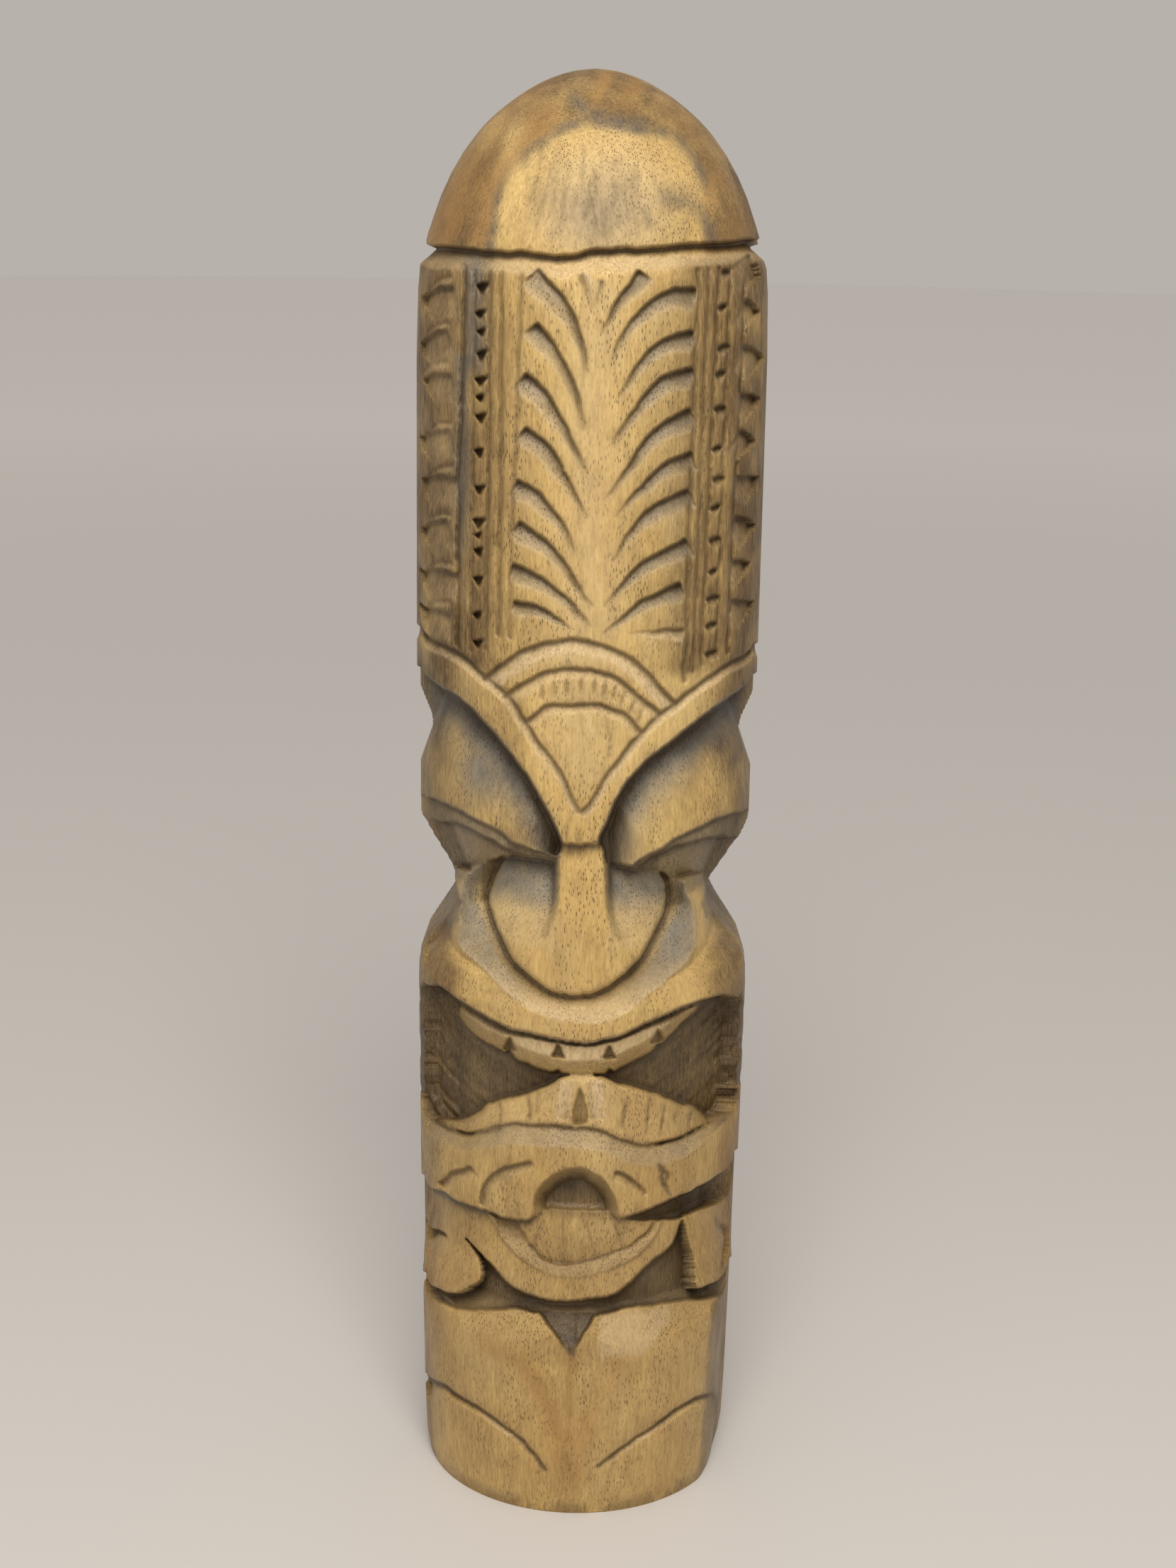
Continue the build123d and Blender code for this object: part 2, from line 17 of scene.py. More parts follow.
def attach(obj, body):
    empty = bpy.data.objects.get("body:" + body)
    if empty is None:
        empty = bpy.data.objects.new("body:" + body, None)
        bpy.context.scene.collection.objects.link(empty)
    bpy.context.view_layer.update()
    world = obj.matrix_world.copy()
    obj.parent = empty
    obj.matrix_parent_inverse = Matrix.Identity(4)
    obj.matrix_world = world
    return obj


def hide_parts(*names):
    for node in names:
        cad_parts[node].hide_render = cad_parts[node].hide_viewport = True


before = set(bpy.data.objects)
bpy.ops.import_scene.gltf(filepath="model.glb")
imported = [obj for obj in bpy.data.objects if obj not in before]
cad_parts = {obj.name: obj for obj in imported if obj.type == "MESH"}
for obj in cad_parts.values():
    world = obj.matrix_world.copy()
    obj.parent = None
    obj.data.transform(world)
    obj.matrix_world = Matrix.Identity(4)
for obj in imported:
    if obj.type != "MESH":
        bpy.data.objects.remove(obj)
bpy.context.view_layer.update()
MM = 0.001  # sizes below are in millimetres, Blender's are in metres

# %% [markdown]
# ## The block
# Before any cut the wood is a column, a little flat front to back, with a foot slightly
# smaller than the body, and a domed cap. Its outline is a table of height and half-width.
# The depth follows the width, because the block was turned or rasped evenly all round.

# %% Outline of the block
body_outline = np.array(
    [(0, 33.3), (4, 33.9), (15, 34.3), (50, 34.8), (100, 35.2), (190, 35.25), (245, 35.0),
     (258, 34.6), (262.5, 34.2), (266.5, 33.1)]
)
dome_outline = np.array(
    [(266.5, 33.1), (268.5, 32.6), (272, 31.4), (276, 29.9), (280, 28.0), (284, 25.6), (288, 22.5),
     (291, 19.5), (294, 15.7), (296.5, 11.7), (298.2, 8.0), (299.3, 4.2), (299.8, 0)]
)
depth_share = 66.0 / 70.5  # half-depth of the block for each millimetre of half-width
full_height = dome_outline[-1, 0]
cap_level = 266.5  # the groove under the cap


def half_width(z):
    """Half-width of the uncut block at a height, below the apex."""
    heights = np.concatenate([body_outline[:, 0], dome_outline[1:, 0]])
    widths = np.concatenate([body_outline[:, 1], dome_outline[1:, 1]])
    return np.interp(z, heights, widths)


print("half-width at the foot and at the brow:", half_width(0), half_width(150))

# %% [markdown]
# ## The drawing board
# A carver draws on the front of the block and looks at it from a little above. The board
# here is that drawing: a fine grid of numbers, x across and z up, which holds how deep the
# wood is cut at each place. The lines were drawn as seen from the carver's eye, so each
# point of the wood looks up its depth along the line from that eye.

# %% The board and the carver's eye
board_step = 0.2
board_x = np.arange(-37, 37.01, board_step)
board_z = np.arange(-3, 302.01, board_step)
X, Z = np.meshgrid(board_x, board_z)
tint = np.zeros_like(X)  # 1 where the finish soaked in and went orange
depth = np.zeros_like(X)  # how deep each place is cut below the block's skin
fresh_cut_and_highlight = np.zeros_like(X)  # 1 where a late, sharp gouge left pale torn fibres, and where a highlight is painted
stain = np.zeros_like(X)  # 1 where the wood is blue-grey inside
patina_and_shade = np.zeros_like(X)  # 1 where the skin has gone brown, and where shade is painted as brown
dirt_and_shade = np.zeros_like(X)  # 1 where dirt and dark finish collect, and where shade is painted in cuts, under edges and in hollows
eye = np.array([0.585, -459.57, 289.64])  # the carver's eye, and later the camera
drawn_half_width, drawn_half_depth = 33.5, 31.0


def drawn_front(x):
    """The front surface that the lines were drawn on."""
    return -drawn_half_depth * np.sqrt(np.clip(1 - (x / drawn_half_width) ** 2, 0, 1))


def on_board(x, y, z):
    """Where a point of the wood lies on the drawing, seen from the eye."""
    along = (drawn_front(x) - eye[1]) / (y - eye[1])
    return eye[0] + (x - eye[0]) * along, eye[2] + (z - eye[2]) * along


def read(board, x, z):
    """Value of a board between its grid points."""
    column = np.clip((x - board_x[0]) / board_step, 0, board_x.size - 1.001)
    row = np.clip((z - board_z[0]) / board_step, 0, board_z.size - 1.001)
    i, j = row.astype(int), column.astype(int)
    a, b = row - i, column - j
    low = board[i, j] * (1 - b) + board[i, j + 1] * b
    high = board[i + 1, j] * (1 - b) + board[i + 1, j + 1] * b
    return low * (1 - a) + high * a


print("board:", X.shape, "places,", board_step, "mm apart")

# %% [markdown]
# ## Drawing tools
# Every cut is one of a few kinds. A *stroke* follows a curved line: steep on one side,
# sloping gently out on the other, as a gouge held askew leaves it. A *patch* is an area
# cut to a depth. Both need the distance from each place to a line, so that comes first.

# %% Lines, areas and distances
def curve(points, spacing=0.5):
    """A smooth line through the points, as closely spaced points."""
    p = np.array(points, float)
    if len(p) < 3:
        steps = max(2, int(np.hypot(*(p[-1] - p[0])) / spacing))
        return p[0] + (p[-1] - p[0]) * np.linspace(0, 1, steps)[:, None]
    ends = np.vstack([2 * p[0] - p[1], p, 2 * p[-1] - p[-2]])
    out = []
    for a, b, c, d in zip(ends[:-3], ends[1:-2], ends[2:-1], ends[3:]):
        t = np.linspace(0, 1, max(2, int(np.hypot(*(c - b)) / spacing)), endpoint=False)[:, None]
        out.append(0.5 * (2 * b + (c - a) * t + (2 * a - 5 * b + 4 * c - d) * t**2
                          + (3 * b - a - 3 * c + d) * t**3))
    return np.vstack(out + [p[-1:]])


def window(points, margin):
    """The part of the board round some points."""
    low, high = np.min(points, 0) - margin, np.max(points, 0) + margin
    rows = slice(*np.clip(np.searchsorted(board_z, [low[1], high[1]]), 0, board_z.size))
    columns = slice(*np.clip(np.searchsorted(board_x, [low[0], high[0]]), 0, board_x.size))
    return rows, columns

# %% Distance from a line
def from_line(line, x, z):
    """Distance from a line, + on its left, the share of its length, and if it is beside it."""
    start, end = line[:-1], line[1:]
    step = end - start
    length2 = (step**2).sum(1)
    best = np.full(x.shape, 1e9)
    side = np.ones(x.shape)
    share = np.zeros(x.shape)
    for k in range(len(step)):
        dx, dz = x - start[k, 0], z - start[k, 1]
        t = (dx * step[k, 0] + dz * step[k, 1]) / length2[k]
        low = -9 if k == 0 else 0
        high = 9 if k == len(step) - 1 else 1
        tc = np.clip(t, 0, 1)
        d2 = (dx - tc * step[k, 0]) ** 2 + (dz - tc * step[k, 1]) ** 2
        closer = d2 < best
        best = np.where(closer, d2, best)
        side = np.where(closer, np.sign(step[k, 0] * dz - step[k, 1] * dx), side)
        share = np.where(closer, (k + np.clip(t, low, high)) / len(step), share)
    return np.sqrt(best) * np.where(side == 0, 1, side), share, (share >= 0) & (share <= 1)

# %% Areas
def inside(outline, x, z):
    """True where a place is inside a closed outline."""
    found = np.zeros(x.shape, bool)
    for (x0, z0), (x1, z1) in zip(outline, np.roll(outline, -1, 0)):
        if z0 == z1:
            continue
        crosses = (z0 > z) != (z1 > z)
        found ^= crosses & (x < x0 + (z - z0) * (x1 - x0) / (z1 - z0))
    return found


print("a smooth line through 3 points has", len(curve([(0, 0), (5, 2), (10, 0)])), "points")

# %% [markdown]
# ## Strokes, V-lines and patches
# A gouge held askew leaves a steep wall on one side and a long slope on the other. A V-tool
# leaves two equal walls. A patch is cleared to a depth with a flat chisel. Each tool also
# leaves its own colour: torn pale fibres on the slope, and at the bottom a dark line that is
# partly dirt and partly painted shade. Small random waves are added later, because no hand
# holds a tool quite still.

# %% Strokes
def stroke(points, width, deep, lip=0.35, taper=(1, 1), pale=1.0, dark=0.7, side=-1, grey=0.0):
    """A gouge stroke: steep at the line, sloping out over width on one side of it.

    side is -1 for the right of the line and 1 for its left; taper is the share of the
    width left at the line's start and end. A grey facet is palest at its outer edge.
    """
    line = curve(points)
    here = window(line, width + 1.5)
    s, t, beside = from_line(line, X[here], Z[here])
    s = s * side
    tc = np.clip(t, 0, 1)
    wide = width * (taper[0] + (taper[1] - taper[0]) * tc)
    full = deep * np.clip(wide / width, 0, 1) ** 0.8
    cut = np.minimum((s + lip) / lip * full, (wide - s) / np.maximum(wide, 0.05) * full)
    cut = np.where((s > -lip) & (s < wide) & beside, np.clip(cut, 0, None), 0)
    depth[here] = np.maximum(depth[here], cut)
    facet = (s > 0.25) & (s < wide) & beside
    outward = np.clip(s / np.maximum(wide, 0.05), 0, 1) ** 3
    torn = pale * (outward if grey else 1.0)
    fresh_cut_and_highlight[here] = np.where(facet, np.maximum(fresh_cut_and_highlight[here], torn), fresh_cut_and_highlight[here])
    stain[here] = np.where(facet, np.maximum(stain[here], grey * (1 - outward)), stain[here])
    shade = 0.45 * grey * (1 - outward)
    dirt_and_shade[here] = np.where(facet, np.maximum(dirt_and_shade[here], shade), dirt_and_shade[here])
    # Dark line along the foot of the steep wall: painted shade, with some dirt.
    groove = np.exp(-(((s - 0.15) / 0.6) ** 2)) * beside * np.clip(full, 0, 1)
    dirt_and_shade[here] = np.maximum(dirt_and_shade[here], dark * groove)

# %% V-lines
def v_line(points, width, deep, pale=0.3, dark=0.6, ends=0.0):
    """A V-shaped line, both walls alike. ends lets it fade out at both ends."""
    line = curve(points)
    here = window(line, width + 1)
    s, t, beside = from_line(line, X[here], Z[here])
    fade = np.clip(np.minimum(t, 1 - t) / ends, 0, 1) ** 0.7 if ends else 1.0
    cut = np.clip(1 - np.abs(s) / (0.5 * width), 0, 1) * deep * fade * beside
    depth[here] = np.maximum(depth[here], cut)
    fresh_cut_and_highlight[here] = np.where(cut > 0.1, pale, fresh_cut_and_highlight[here])
    # Dark line down the middle of the V: painted shade, with some dirt.
    dirt_and_shade[here] = np.maximum(dirt_and_shade[here], dark * np.exp(-((s / 0.35) ** 2)) * beside)

# %% Patches
def patch(outline, cut_to, pale=None, grey=None, grime_and_shade=None):
    """Cuts an area to a depth, which can be a number or a function of (x, z)."""
    outline = np.array(outline, float)
    here = window(outline, 1)
    x, z = X[here], Z[here]
    mask = inside(outline, x, z)
    value = cut_to(x, z) if callable(cut_to) else np.full(x.shape, float(cut_to))
    depth[here] = np.where(mask, value, depth[here])
    # The last amount darkens the area with dirt and painted shade.
    for board, worth in ((fresh_cut_and_highlight, pale), (stain, grey), (dirt_and_shade, grime_and_shade)):
        if worth is not None:
            worth = worth(x, z) if callable(worth) else worth
            board[here] = np.where(mask, worth, board[here])

# %% Line heights and hand waves
def along(points):
    """A line's height for each x, as a function."""
    line = curve(points)
    order = np.argsort(line[:, 0])
    return lambda x: np.interp(x, line[order, 0], line[order, 1])


def hand_waves(seed, x, z, size_x, size_z):
    """Smooth random waves from -1 to 1 with bumps of about the given sizes."""
    rng = np.random.default_rng(seed)
    table = rng.uniform(-1, 1, (64, 64))
    u, v = (x / size_x) % 63, (z / size_z) % 63
    i, j = v.astype(int), u.astype(int)
    a, b = v - i, u - j
    a, b = a * a * (3 - 2 * a), b * b * (3 - 2 * b)
    low = table[i, j] * (1 - b) + table[i, j + 1] * b
    high = table[i + 1, j] * (1 - b) + table[i + 1, j + 1] * b
    return low * (1 - a) + high * a


print("tools: stroke, V-line and patch, on a board of", board_x.size, "columns")

# %% [markdown]
# ## Groove under the cap
# The carver ran a knife round the block for the lower rim of the cap, then sloped the wood
# up to it from below. The line wanders by about 3 mm, so it's drawn through points given one by one.

# %% Cut the cap groove
cap_line = along([(-37, 265.9), (-32, 266), (-20, 266.3), (-10, 266), (-5, 265.8), (0, 267),
                  (5, 267.2), (10, 267.5), (20, 268), (28, 268.3), (33, 268), (37, 268)])


groove_deep, groove_run = 3.0, 3.9  # its depth, and how far down its lower slope runs


def groove_cut(under):
    """Depth of the groove at a distance below its line: steep on top, sloping out below."""
    wall, slope = (under + 0.45) / 0.4, (groove_run - under) / groove_run
    return np.clip(np.minimum(wall, slope), 0, 1) * groove_deep


under = cap_line(X) - Z  # how far a place lies below the line
depth = np.maximum(depth, groove_cut(under))
fresh_cut_and_highlight = np.where((under > 0.4) & (under < groove_run - 0.2), 0.75, fresh_cut_and_highlight)
# Dark line under the cap's rim: painted shadow of the overhanging rim.
dirt_and_shade = np.maximum(dirt_and_shade, 0.9 * np.exp(-((under / 0.55) ** 2)))
print("groove: deepest", round(depth.max(), 2), "mm")

# %% [markdown]
# ## Fern on the front
# Eight or nine leaves a side, cut as slivers that start wide at the outer end and run out
# to a point beside the plain stem. The steep side is on top, so each leaf throws a shadow
# line and shows a pale sloping face. No two are quite alike: the points are the carver's.

# %% Cut the fern
left_leaves = [
    ([(-10.5, 263.5), (-7.5, 260.5), (-5, 257.5), (-3, 254), (-1.5, 249.5), (-0.8, 244.5)], 4.2),
    ([(-10.5, 253.8), (-8, 251), (-6, 248), (-3.5, 243.5), (-1.5, 236.5), (-1, 233.8)], 3.4),
    ([(-12.3, 244.2), (-9, 241.5), (-6, 237), (-3.5, 232), (-0.5, 225.8)], 4.0),
    ([(-12.3, 234.2), (-8, 231), (-5.5, 227), (-3, 222.5), (-0.3, 217.3)], 3.8),
    ([(-13.6, 224.2), (-10, 222.2), (-7, 218.7), (-4, 214.5), (-2.5, 210.5)], 4.0),
    ([(-13.6, 216.2), (-8, 212.5), (-4, 208), (-1, 203), (1, 200)], 3.6),
    ([(-14.4, 207.6), (-10, 206), (-6, 203.2), (-2.5, 200), (0.7, 196)], 3.6),
    ([(-14.4, 200.6), (-9, 199.5), (-5, 197), (-3, 195.5)], 3.0),
]
right_leaves = [
    ([(8.5, 263.5), (7, 261), (5.5, 259.5), (4, 257), (1.8, 252)], 3.0),
    ([(19, 260.3), (15, 260), (11, 258), (8, 255), (5.5, 251.5), (3.5, 246.5)], 4.2),
    ([(19, 252.2), (15, 251.5), (11.5, 249.5), (8.5, 246), (6.5, 242.5), (5, 239.5)], 3.8),
    ([(19, 245.5), (15, 244.5), (11.5, 242), (8, 237.5), (4, 231)], 3.8),
    ([(19, 237.5), (15, 236), (11.5, 233.5), (8, 228.5), (3, 221)], 4.0),
    ([(19.3, 229.5), (14, 227.5), (9, 222.5), (5.2, 217.7)], 3.8),
    ([(19, 222.5), (14, 220.5), (10, 217.5), (7, 213.5), (4.5, 209)], 4.0),
    ([(18.8, 212.7), (14, 210.5), (9, 207.5), (6, 204), (3.2, 200.2)], 3.8),
    ([(18, 204.2), (13, 202.5), (9, 200), (6, 197.5), (3, 195)], 3.6),
]
for points, width in left_leaves:
    stroke(points, width * 1.08, 2.2, taper=(1, 0.08), dark=0.9, pale=0.9, grey=0.65)
for points, width in right_leaves:
    stroke(points, width * 1.08, 2.2, taper=(1, 0.08), side=1, dark=0.9, pale=0.8, grey=0.75)
stroke([(7.5, 194.7), (13, 195.2), (18.7, 194.9)], 2.6, 1.2, taper=(0.1, 1))
stroke([(-2.2, 263), (-0.3, 255.8)], 1.6, 1.0, taper=(1, 0.1), side=1)
stroke([(2.0, 261.5), (0.2, 255.8)], 1.0, 0.9, taper=(1, 0.1))
print("leaves:", len(left_leaves), "left,", len(right_leaves), "right")

# %% [markdown]
# ## Side bands of the headdress
# Beside the fern stand upright ridges with columns of notches between them. The notches
# are two knife cuts each: one level stop cut on top and one sloping cut up to it.

# %% Cut the ridges
upright_lines = [
    ([(-13.2, 263), (-13.9, 240), (-14.8, 215), (-15.2, 193)], 1.2, 0.8),
    ([(-17, 263), (-17.1, 230), (-17.3, 193)], 1.3, 1.0),
    ([(-19.2, 263), (-19.5, 230), (-20, 190)], 1.1, 1.0),
    ([(-22.3, 263), (-22.6, 230), (-22.9, 189)], 1.0, 0.9),
    ([(-24.1, 264), (-24.9, 238), (-25.4, 222), (-25.7, 189)], 1.2, 1.5),
    ([(19.7, 264), (19.6, 240), (19.3, 215), (19.2, 184)], 1.4, 1.1),
    ([(21.8, 264), (21.4, 230), (20.9, 186)], 1.0, 0.7),
    ([(23.6, 264), (23.2, 230), (22.5, 187)], 1.2, 1.1),
    ([(26.0, 264), (25.8, 230), (25.4, 188)], 1.1, 1.0),
    ([(29.1, 264), (28.6, 230), (27.7, 188)], 1.3, 1.2),
]
for points, width, deep in upright_lines:
    v_line(points, width, deep, pale=0.15, dark=0.55)

# %% One notch
def notch(x0, x1, z, tall, deep, tilt=0.0, dark=0.85):
    """A level stop cut from x0 to x1 with a slope running out below it."""
    bend = 0.12 * (x1 - x0)
    middle = (0.5 * (x0 + x1), z + bend)
    stroke([(x0, z - tilt), middle, (x1, z + tilt)], tall, deep, lip=0.3, pale=0.35, dark=dark)

# %% Columns of notches
# Each notch is filled dark: painted shade in the small hollow.
for z, wide, tall in ((260.5, 2.6, 2.4), (255.5, 2.2, 1.7), (252, 2.0, 1.6), (248, 2.4, 2.3),
                      (243, 2.6, 2.0), (239.5, 1.8, 1.5), (236, 2.2, 2.1), (229.5, 2.0, 1.8),
                      (222.5, 2.3, 2.2), (216, 2.6, 2.4), (213, 1.8, 1.3), (210, 2.0, 1.9),
                      (204.5, 2.2, 2.2), (197.5, 2.0, 1.8), (192, 2.2, 1.8)):
    left, middle = -22.0 - (262 - z) / 70 * 0.6, -20.9 - (262 - z) / 70 * 0.6
    patch([(left, z - 0.4), (left + wide, z + 0.3), (middle, z - tall)],
          lambda x, z: 2.0 + 0 * x, pale=0, grime_and_shade=0.8)
for z, wide, tall in ((263, 2.0, 2.6), (256.5, 1.7, 3.2), (249, 2.3, 2.2), (244, 1.8, 2.8),
                      (237.5, 2.3, 3.3), (230, 1.9, 2.5), (224, 2.3, 2.9), (218.5, 1.8, 2.2),
                      (212, 2.3, 3.3), (206, 1.8, 2.4), (200.5, 2.3, 2.7), (195, 1.9, 2.4),
                      (189.5, 2.2, 2.4)):
    left = 23.9 - 0.6 * (262 - z) / 70
    stroke([(left, z - 0.3), (left + 0.5 * wide, z + 0.3), (left + wide, z)], tall, 1.7,
           lip=0.3, pale=0.5, dark=1.0)
for z, far, near, tilt in ((257.5, -33.5, -26.6, 1.7), (249, -34, -27, 2.2), (241.5, -33, -27.5, 1.3),
                           (230, -34.5, -26.8, 2.0), (221.5, -34, -26.4, 1.1), (212, -34, -26.8, 2.2),
                           (202.5, -34.5, -26.6, 1.6), (194.7, -34.5, -27, 1.0)):
    notch(far, near + 1.2 * math.sin(z), z, 5.6, 1.25 + 0.25 * math.cos(z), tilt=tilt, dark=0.4)
    stroke([(near - 0.4, z + 3.8), (near - 3.5, z + 2.6), (near - 5.5, z + 0.2)], 1.8, 0.8,
           taper=(0.7, 0.4), pale=0.7, dark=0.2, side=1)
for z, near, far, tilt in ((263.5, 29.6, 34, -2.4), (256, 29.4, 34.8, -1.3), (247, 29.3, 34.4, -1.8),
                           (238.5, 29.2, 34.8, -0.9), (231, 29.0, 34.6, -1.6), (222.5, 28.9, 34.8, -1.1),
                           (214, 28.8, 34.4, -1.7), (206, 28.6, 34.8, -1.0), (197.5, 28.5, 34.6, -1.4)):
    notch(near, far - 1.5 + math.sin(z), z, 5.2, 1.6 + 0.3 * math.cos(z), tilt=tilt, dark=0.7)

# %% Blue streaks
blue_streak = (np.exp(-(((X + 24.9) / 1.3) ** 2)) * np.clip((Z - 205) / 10, 0, 1) * (Z < 247)
               + 0.8 * np.exp(-(((X + 22.6) / 2.2) ** 2)) * np.clip((Z - 240) / 6, 0, 1)) * (Z < 266)
stain = np.maximum(stain, 0.95 * blue_streak)
dirt_and_shade = np.maximum(dirt_and_shade, 0.45 * blue_streak * (hand_waves(31, X, Z, 1.2, 5.0) > -0.2) * (Z < 247))
print("side bands cut to", round(depth[(Z > 190) & (Z < 262)].max(), 2), "mm")

# %% [markdown]
# ## Nested arches above the brow
# Three arches fill the space between the fern and the V of the brow, with a row of small
# knife marks between the second and the third.

# %% Cut the arches
stroke([(-20.5, 184.3), (-15, 189), (-10, 192.2), (-5, 193.5), (-2, 193.7), (3, 192.7), (7, 191),
        (11, 188), (14, 184.5), (17.3, 180.6)], 3.1, 1.5, taper=(1, 0.8))
stroke([(-16.5, 181), (-12, 184.7), (-8, 187), (-3, 188), (1, 187.7), (6, 186), (9, 183.5),
        (14.6, 178.6)], 2.2, 1.4, pale=0.6)
stroke([(-12.2, 176.6), (-8, 180), (-5, 180.5), (0, 181), (3, 180.7), (6, 179.5), (8, 178.5),
        (11, 175.0)], 1.8, 1.2, pale=0.6)
knife_marks = ((-9, 184.9, -0.5), (-6.5, 185.7, -0.4), (-4, 186.2, -0.2), (-1, 186.6, 0),
               (1.6, 186.4, 0.1), (3.8, 185.8, 0.3), (5.8, 185.2, 0.5), (7.8, 183.8, 0.8),
               (9.6, 182.2, 1.1), (11.3, 180.6, 1.3))
for x, z, lean in knife_marks:
    v_line([(x, z), (x - lean, z - 3.8)], 0.8, 0.9, pale=0.3, dark=0.5, ends=0.3)
v_line([(4, 178.5), (4.6, 175), (4.5, 171.5), (3.6, 166.5)], 0.7, 0.5, dark=0.35, ends=0.3)
print("arches: 3, with", len(knife_marks), "knife marks")

# %% [markdown]
# ## Brow, eyelids and waist
# The V-shaped brow stands at the full surface. Below it the wood is cut well back and
# swells out again as two heavy lids, and under the lids it goes in to the waist. Each of
# these is a patch whose depth changes with the distance from the brow or the lid's edge.

# %% Brow band
left_brow_top = [(-37, 189.3), (-33, 189), (-28, 188.7), (-24, 187.5), (-20, 185), (-15.5, 181.6),
                 (-12, 177), (-9.3, 172.7), (-6.3, 169.3), (-4, 165.3), (-1, 158.6)]
right_brow_top = [(-0.9, 158.4), (1.3, 161.5), (4, 166.2), (6.6, 169.5), (10, 174), (14, 178),
                  (20.5, 182.5), (25, 185), (29, 186.5), (33.5, 186.5), (37, 186.3)]
left_brow_low = [(-37, 180.6), (-33.5, 180.5), (-28.5, 180.1), (-25, 179), (-21, 176.2), (-17, 172.6),
                 (-13, 167.8), (-10, 163.8), (-7.6, 159.6), (-5.5, 155.5), (-4.2, 152.3)]
right_brow_low = [(2.7, 152.3), (3.7, 155), (5.4, 159.8), (7.6, 164.3), (10.7, 168.2), (15, 171.4),
                  (20, 175), (24, 177.2), (29, 179.5), (33, 180), (37, 180)]
stroke(left_brow_top, 2.6, 1.7, taper=(1, 0.45), pale=0.9)
stroke(right_brow_top, 2.6, 1.7, taper=(0.45, 1), pale=0.9)
print("brow: the V comes to its point at", left_brow_top[-1][1], "mm")

# %% [markdown]
# ## Eyelids
# A lid is the wood that is left between the brow and the lid's own lower edge. It swells
# towards that edge and sinks into a valley beside the nose. A mesh could be pulled out
# into a bulge, but a carver can only take wood away, so here it's a cut with a rounded floor.

# %% Eyelids
left_lid = [(-37, 150.5), (-33.5, 153.3), (-31, 155.4), (-26, 155.8), (-20, 154.7), (-16, 153),
            (-14, 151.7), (-10.5, 151), (-7.5, 150.2), (-5, 149.6)]
right_lid = [(4.0, 144.3), (7, 145.7), (10.5, 148.5), (14.5, 150.3), (19, 152.5), (24, 154),
             (28, 154.2), (31, 153.5), (34, 150.5), (37, 148.5)]


def lid(brow_low, lid_edge, side):
    """The swelling eyelid between the brow and the lid's edge."""
    brow_line = curve(brow_low)
    edge = along(lid_edge)
    outline = np.vstack([curve(lid_edge), brow_line[::-1]])

    def fall(x, z):
        to_brow = np.abs(from_line(brow_line, x, z)[0])
        to_edge = np.clip(z - edge(x), 0, None)
        u = np.clip(to_edge / (to_edge + to_brow + 0.01), 0, 1)
        bulge = 1.3 + 4.6 * u**2.2
        toward_nose = np.clip((12.5 - side * x) / 7.5, 0, 1)
        valley = 5.6 * toward_nose**1.3
        wall = np.clip(to_brow / 0.5, 0, 1)
        return np.maximum(bulge, 1.3 + valley) * wall

    # Darker near the brow and towards the nose: painted shade under the brow and in the valley beside the
    # nose.
    patch(outline, fall, pale=0.0,
          grey=lambda x, z: np.clip(fall(x, z) / 6 - 0.25, 0, 0.8)
          + 0.8 * np.exp(-((from_line(brow_line, x, z)[0] / 6) ** 2)),
          grime_and_shade=lambda x, z: np.clip(0.9 * np.exp(-((from_line(brow_line, x, z)[0] / 3.0) ** 2))
                                    + 0.6 * np.clip((10 - side * x) / 5, 0, 1), 0, 0.9))


print("lids: edges as high as", max(z for _, z in left_lid), "and", max(z for _, z in right_lid), "mm")

# %% [markdown]
# ## Rim round the nose
# A crisp edge runs in a U round the nose, where the cheeks and the upper lip stop and the
# funnel starts. Both sides of it need the same line, so it's drawn once, with its own depth.

# %% Rim of the funnel round the nose
funnel_rim = [(-22.3, 144.8), (-24.6, 140.5), (-25.8, 136), (-25.5, 130.5), (-25.3, 126.2), (-21, 124),
              (-15, 119), (-10, 116.2), (-4, 114.9), (2, 114.1), (7, 115), (10.5, 117), (15, 120.7),
              (20, 124), (23, 127.5), (23.2, 130), (22.8, 135), (21.6, 139), (20.5, 142.2)]
rim = curve(funnel_rim)


def rim_depth(z):
    """The rim stands further back towards its two upper tips."""
    return np.interp(z, [113, 119, 124, 127, 136, 145], [0.1, 0.7, 2.0, 3.0, 4.8, 6.2])


print("rim: foot at", round(rim[:, 1].min(), 1), "mm, tips", rim_depth(145), "mm deep")

# %% [markdown]
# ## Waist and cheeks
# Under each lid the wood steps in twice, as two thin crescents, then falls to the waist and
# swells out again as the cheek. Two height lines and two depth tables say that with few
# numbers, and either crescent can be moved by changing one line.

# %% Waist under the lids
left_edge, right_edge = along(left_lid), along(right_lid)
left_step = along([(-37, 147), (-33, 149.2), (-30, 151), (-26.5, 152.6), (-22.5, 152.4), (-19, 151.5),
                   (-15, 149.9), (-9, 148.6), (-5, 147.6)])
right_step = along([(3, 143.2), (6.5, 144.6), (10, 147), (14, 149.4), (19, 150.8), (24, 151),
                    (27, 150.3), (30, 148.6), (33, 146)])


def under_lid(x, z, edge, step):
    """Depth under a lid: a sharp edge, a narrow crescent, a second edge, then in to the waist."""
    below_edge, below_step = edge(x) - z, step(x) - z
    crescent = 1.4 + 2.0 * np.clip(below_edge / 0.5, 0, 1) + 0.12 * below_edge
    inner = 3.6 + 3.0 * np.clip(below_step / 0.5, 0, 1) + 0.42 * below_step
    return np.clip(np.where(below_step > 0, inner, crescent), 0, 10.4)


